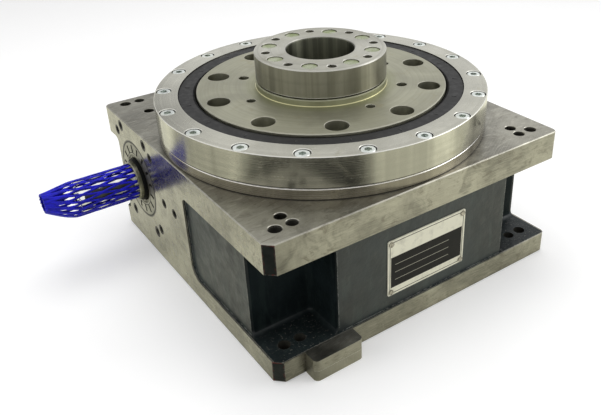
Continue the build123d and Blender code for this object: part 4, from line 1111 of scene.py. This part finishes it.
class TABLE_OT_column(Operator):
    """Finish the fixed column and its head"""
    bl_idname = "index_table.column"
    bl_label = "Column"

    def execute(self, context):
        settings = context.scene.table_finish
        add_object("column_head_caps", head_caps(), cap_finish(), "housing")
        dress(turned_finish(
            settings, "turned_column", COLUMN_STEEL, 0.34, streak=0.9, streak_scale=90, side=0.52))
        return {"FINISHED"}


class TABLE_OT_drive(Operator):
    """Finish the camshaft, the bearings, the followers and the adjusting rings"""
    bl_idname = "index_table.drive"
    bl_label = "Cam Drive"

    def execute(self, context):
        settings = context.scene.table_finish
        dress(ground_finish(settings))
        dress(shaft_finish())
        dress(adjuster_finish(settings))
        return {"FINISHED"}


class TABLE_OT_screws(Operator):
    """Finish every screw and nut"""
    bl_idname = "index_table.screws"
    bl_label = "Screws"

    def execute(self, context):
        dress(zinc_finish(context.scene.table_finish))
        return {"FINISHED"}


class TABLE_OT_seals(Operator):
    """Finish the seals and add the radial joints of the disc seal"""
    bl_idname = "index_table.seals"
    bl_label = "Seals"

    def execute(self, context):
        sizes = context.scene.table_seal
        rubber = rubber_finish(context.scene.table_finish)
        dress(rubber)
        mesh = bmesh.new()
        for turn in turns(sizes.tick_count, FIRST_TICK):
            add_tick(mesh, turn, sizes)
        add_object("disc_seal_joints", mesh, tick_finish(), "housing")
        lip = add_object("input_seal_lip", lathed(SEAL_LIP), rubber, "housing")
        add_object("input_seal_case", lathed(SEAL_CASE), case_finish(), "housing")
        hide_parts("input_shaft_seal")
        return {"FINISHED"}


class TABLE_OT_nameplate(Operator):
    """Finish the blank nameplate and its rivets"""
    bl_idname = "index_table.nameplate"
    bl_label = "Nameplate"

    def execute(self, context):
        dress(plate_finish(context.scene.table_finish))
        dress(rivet_finish())
        return {"FINISHED"}


class TABLE_OT_oil_fittings(Operator):
    """Finish the oil plugs and the sight glass on the back"""
    bl_idname = "index_table.oil_fittings"
    bl_label = "Oil Fittings"

    def execute(self, context):
        dress(brass_finish(context.scene.table_finish))
        dress(glass_finish())
        return {"FINISHED"}


class TABLE_OT_net(Operator):
    """Weave the plastic net that protects the shaft end"""
    bl_idname = "index_table.net"
    bl_label = "Shaft Net"

    def execute(self, context):
        mesh = net_mesh(context.scene.table_net)
        plastic = net_finish(context.scene.table_finish)
        net = add_object("shaft_net_weave", mesh, plastic, "camshaft")
        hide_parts("shaft_net_sleeve")
        return {"FINISHED"}


def add_camera():
    """Camera that sees the table as the photograph does."""
    data = bpy.data.cameras.new("photo_camera")
    data.sensor_fit = "HORIZONTAL"
    data.sensor_width = 36.0
    data.lens = CAMERA_FOCAL * data.sensor_width / PHOTO_WIDTH
    data.shift_x = (PHOTO_WIDTH / 2 - CAMERA_CENTRE[0]) / PHOTO_WIDTH
    data.shift_y = (CAMERA_CENTRE[1] - PHOTO_HEIGHT / 2) / PHOTO_WIDTH
    data.clip_start = 0.01
    data.clip_end = 50
    camera = bpy.data.objects.new("photo_camera", data)
    forward = Vector(CAMERA_FORWARD).normalized()
    up = Vector(CAMERA_RIGHT).cross(forward).normalized()
    right = forward.cross(up)
    pose = Matrix((right, up, -forward)).transposed().to_4x4()
    pose.translation = Vector(CAMERA_PLACE) * MM
    camera.matrix_world = pose
    bpy.context.scene.collection.objects.link(camera)
    bpy.context.scene.camera = camera


def add_world(settings):
    """Even light, which the camera, glossy and clear surfaces see as white."""
    world = bpy.data.worlds.new("studio")
    bpy.context.scene.world = world
    world.use_nodes = True
    world.node_tree.nodes.clear()
    sky = Nodes(world.node_tree)
    light = sky.add("ShaderNodeBackground", {"Color": WHITE, "Strength": settings.world_strength})
    seen = sky.add("ShaderNodeBackground", {"Color": WHITE, "Strength": 1.0})
    mixed = sky.add("ShaderNodeMixShader", {
        0: sky.seen_directly(), 1: light.outputs[0], 2: seen.outputs[0]})
    sky.add("ShaderNodeOutputWorld", {0: mixed.outputs[0]})


def add_floor(settings):
    """Round floor under the housing."""
    mesh = bmesh.new()
    bmesh.ops.create_circle(mesh, cap_ends=True, segments=64, radius=FLOOR_R)
    for vert in mesh.verts:
        vert.co.z = HOUSING_LOW.z
    floor = add_object("studio_floor", mesh, floor_finish(settings), smooth=False)


def add_lamp(settings, name, place, size, power, reflected):
    """Round soft lamp, turned to the table."""
    data = bpy.data.lights.new(name, "AREA")
    data.shape = "DISK"
    data.size = size
    data.energy = power * settings.lamp_strength
    lamp = bpy.data.objects.new(name, data)
    lamp.location = place
    direction = Vector(LAMP_TARGET) - Vector(place)
    lamp.rotation_euler = direction.to_track_quat("-Z", "Y").to_euler()
    lamp.visible_glossy = reflected
    bpy.context.scene.collection.objects.link(lamp)


def add_card(name, place, size, turn, cover):
    """Round dark card that only reflections see."""
    mesh = bmesh.new()
    bmesh.ops.create_circle(mesh, cap_ends=True, segments=48, radius=1.0)
    card = add_object(name, mesh, card_finish(cover), smooth=False)
    card.scale = (size[0], size[1], 1.0)
    card.location = place
    card.rotation_euler = [radians(angle) for angle in turn]
    card.visible_camera = False
    card.visible_diffuse = False
    card.visible_shadow = False


class TABLE_OT_stage(Operator):
    """Set up the floor, the lamps, the surroundings and the camera"""
    bl_idname = "index_table.stage"
    bl_label = "Stage"

    def execute(self, context):
        settings = context.scene.table_stage
        context.scene.view_settings.view_transform = "Standard"
        add_camera()
        add_world(settings)
        add_floor(settings)
        for lamp in LAMPS:
            add_lamp(settings, *lamp)
        for card in CARDS:
            add_card(*card)
        return {"FINISHED"}


GROUPS = (
    (TABLE_PG_finish, "table_finish"),
    (TABLE_PG_net, "table_net"),
    (TABLE_PG_seal, "table_seal"),
    (TABLE_PG_stage, "table_stage"),
)
OPERATORS = (
    TABLE_OT_housing, TABLE_OT_rings, TABLE_OT_disc, TABLE_OT_column, TABLE_OT_drive,
    TABLE_OT_screws, TABLE_OT_seals, TABLE_OT_nameplate, TABLE_OT_oil_fittings, TABLE_OT_net,
    TABLE_OT_stage,
)


class TABLE_PT_sidebar(Panel):
    """Lists the settings and the steps of the table"""
    bl_idname = "TABLE_PT_sidebar"
    bl_label = "Indexing Table"
    bl_space_type = "VIEW_3D"
    bl_region_type = "UI"
    bl_category = "Indexing Table"

    def draw(self, context):
        for group, name in GROUPS:
            settings = getattr(context.scene, name)
            for key in group.__annotations__:
                self.layout.prop(settings, key)
        for operator in OPERATORS:
            self.layout.operator(operator.bl_idname)


def register():
    for group, name in GROUPS:
        bpy.utils.register_class(group)
        setattr(bpy.types.Scene, name, PointerProperty(type=group))
    for operator in OPERATORS:
        bpy.utils.register_class(operator)
    bpy.utils.register_class(TABLE_PT_sidebar)


def unregister():
    bpy.utils.unregister_class(TABLE_PT_sidebar)
    for operator in reversed(OPERATORS):
        bpy.utils.unregister_class(operator)
    for group, name in reversed(GROUPS):
        delattr(bpy.types.Scene, name)
        bpy.utils.unregister_class(group)


def main():
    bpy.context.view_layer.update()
    register()
    for operator in OPERATORS:
        group, name = operator.bl_idname.split(".")
        getattr(getattr(bpy.ops, group), name)()


if __name__ == "__main__":
    main()
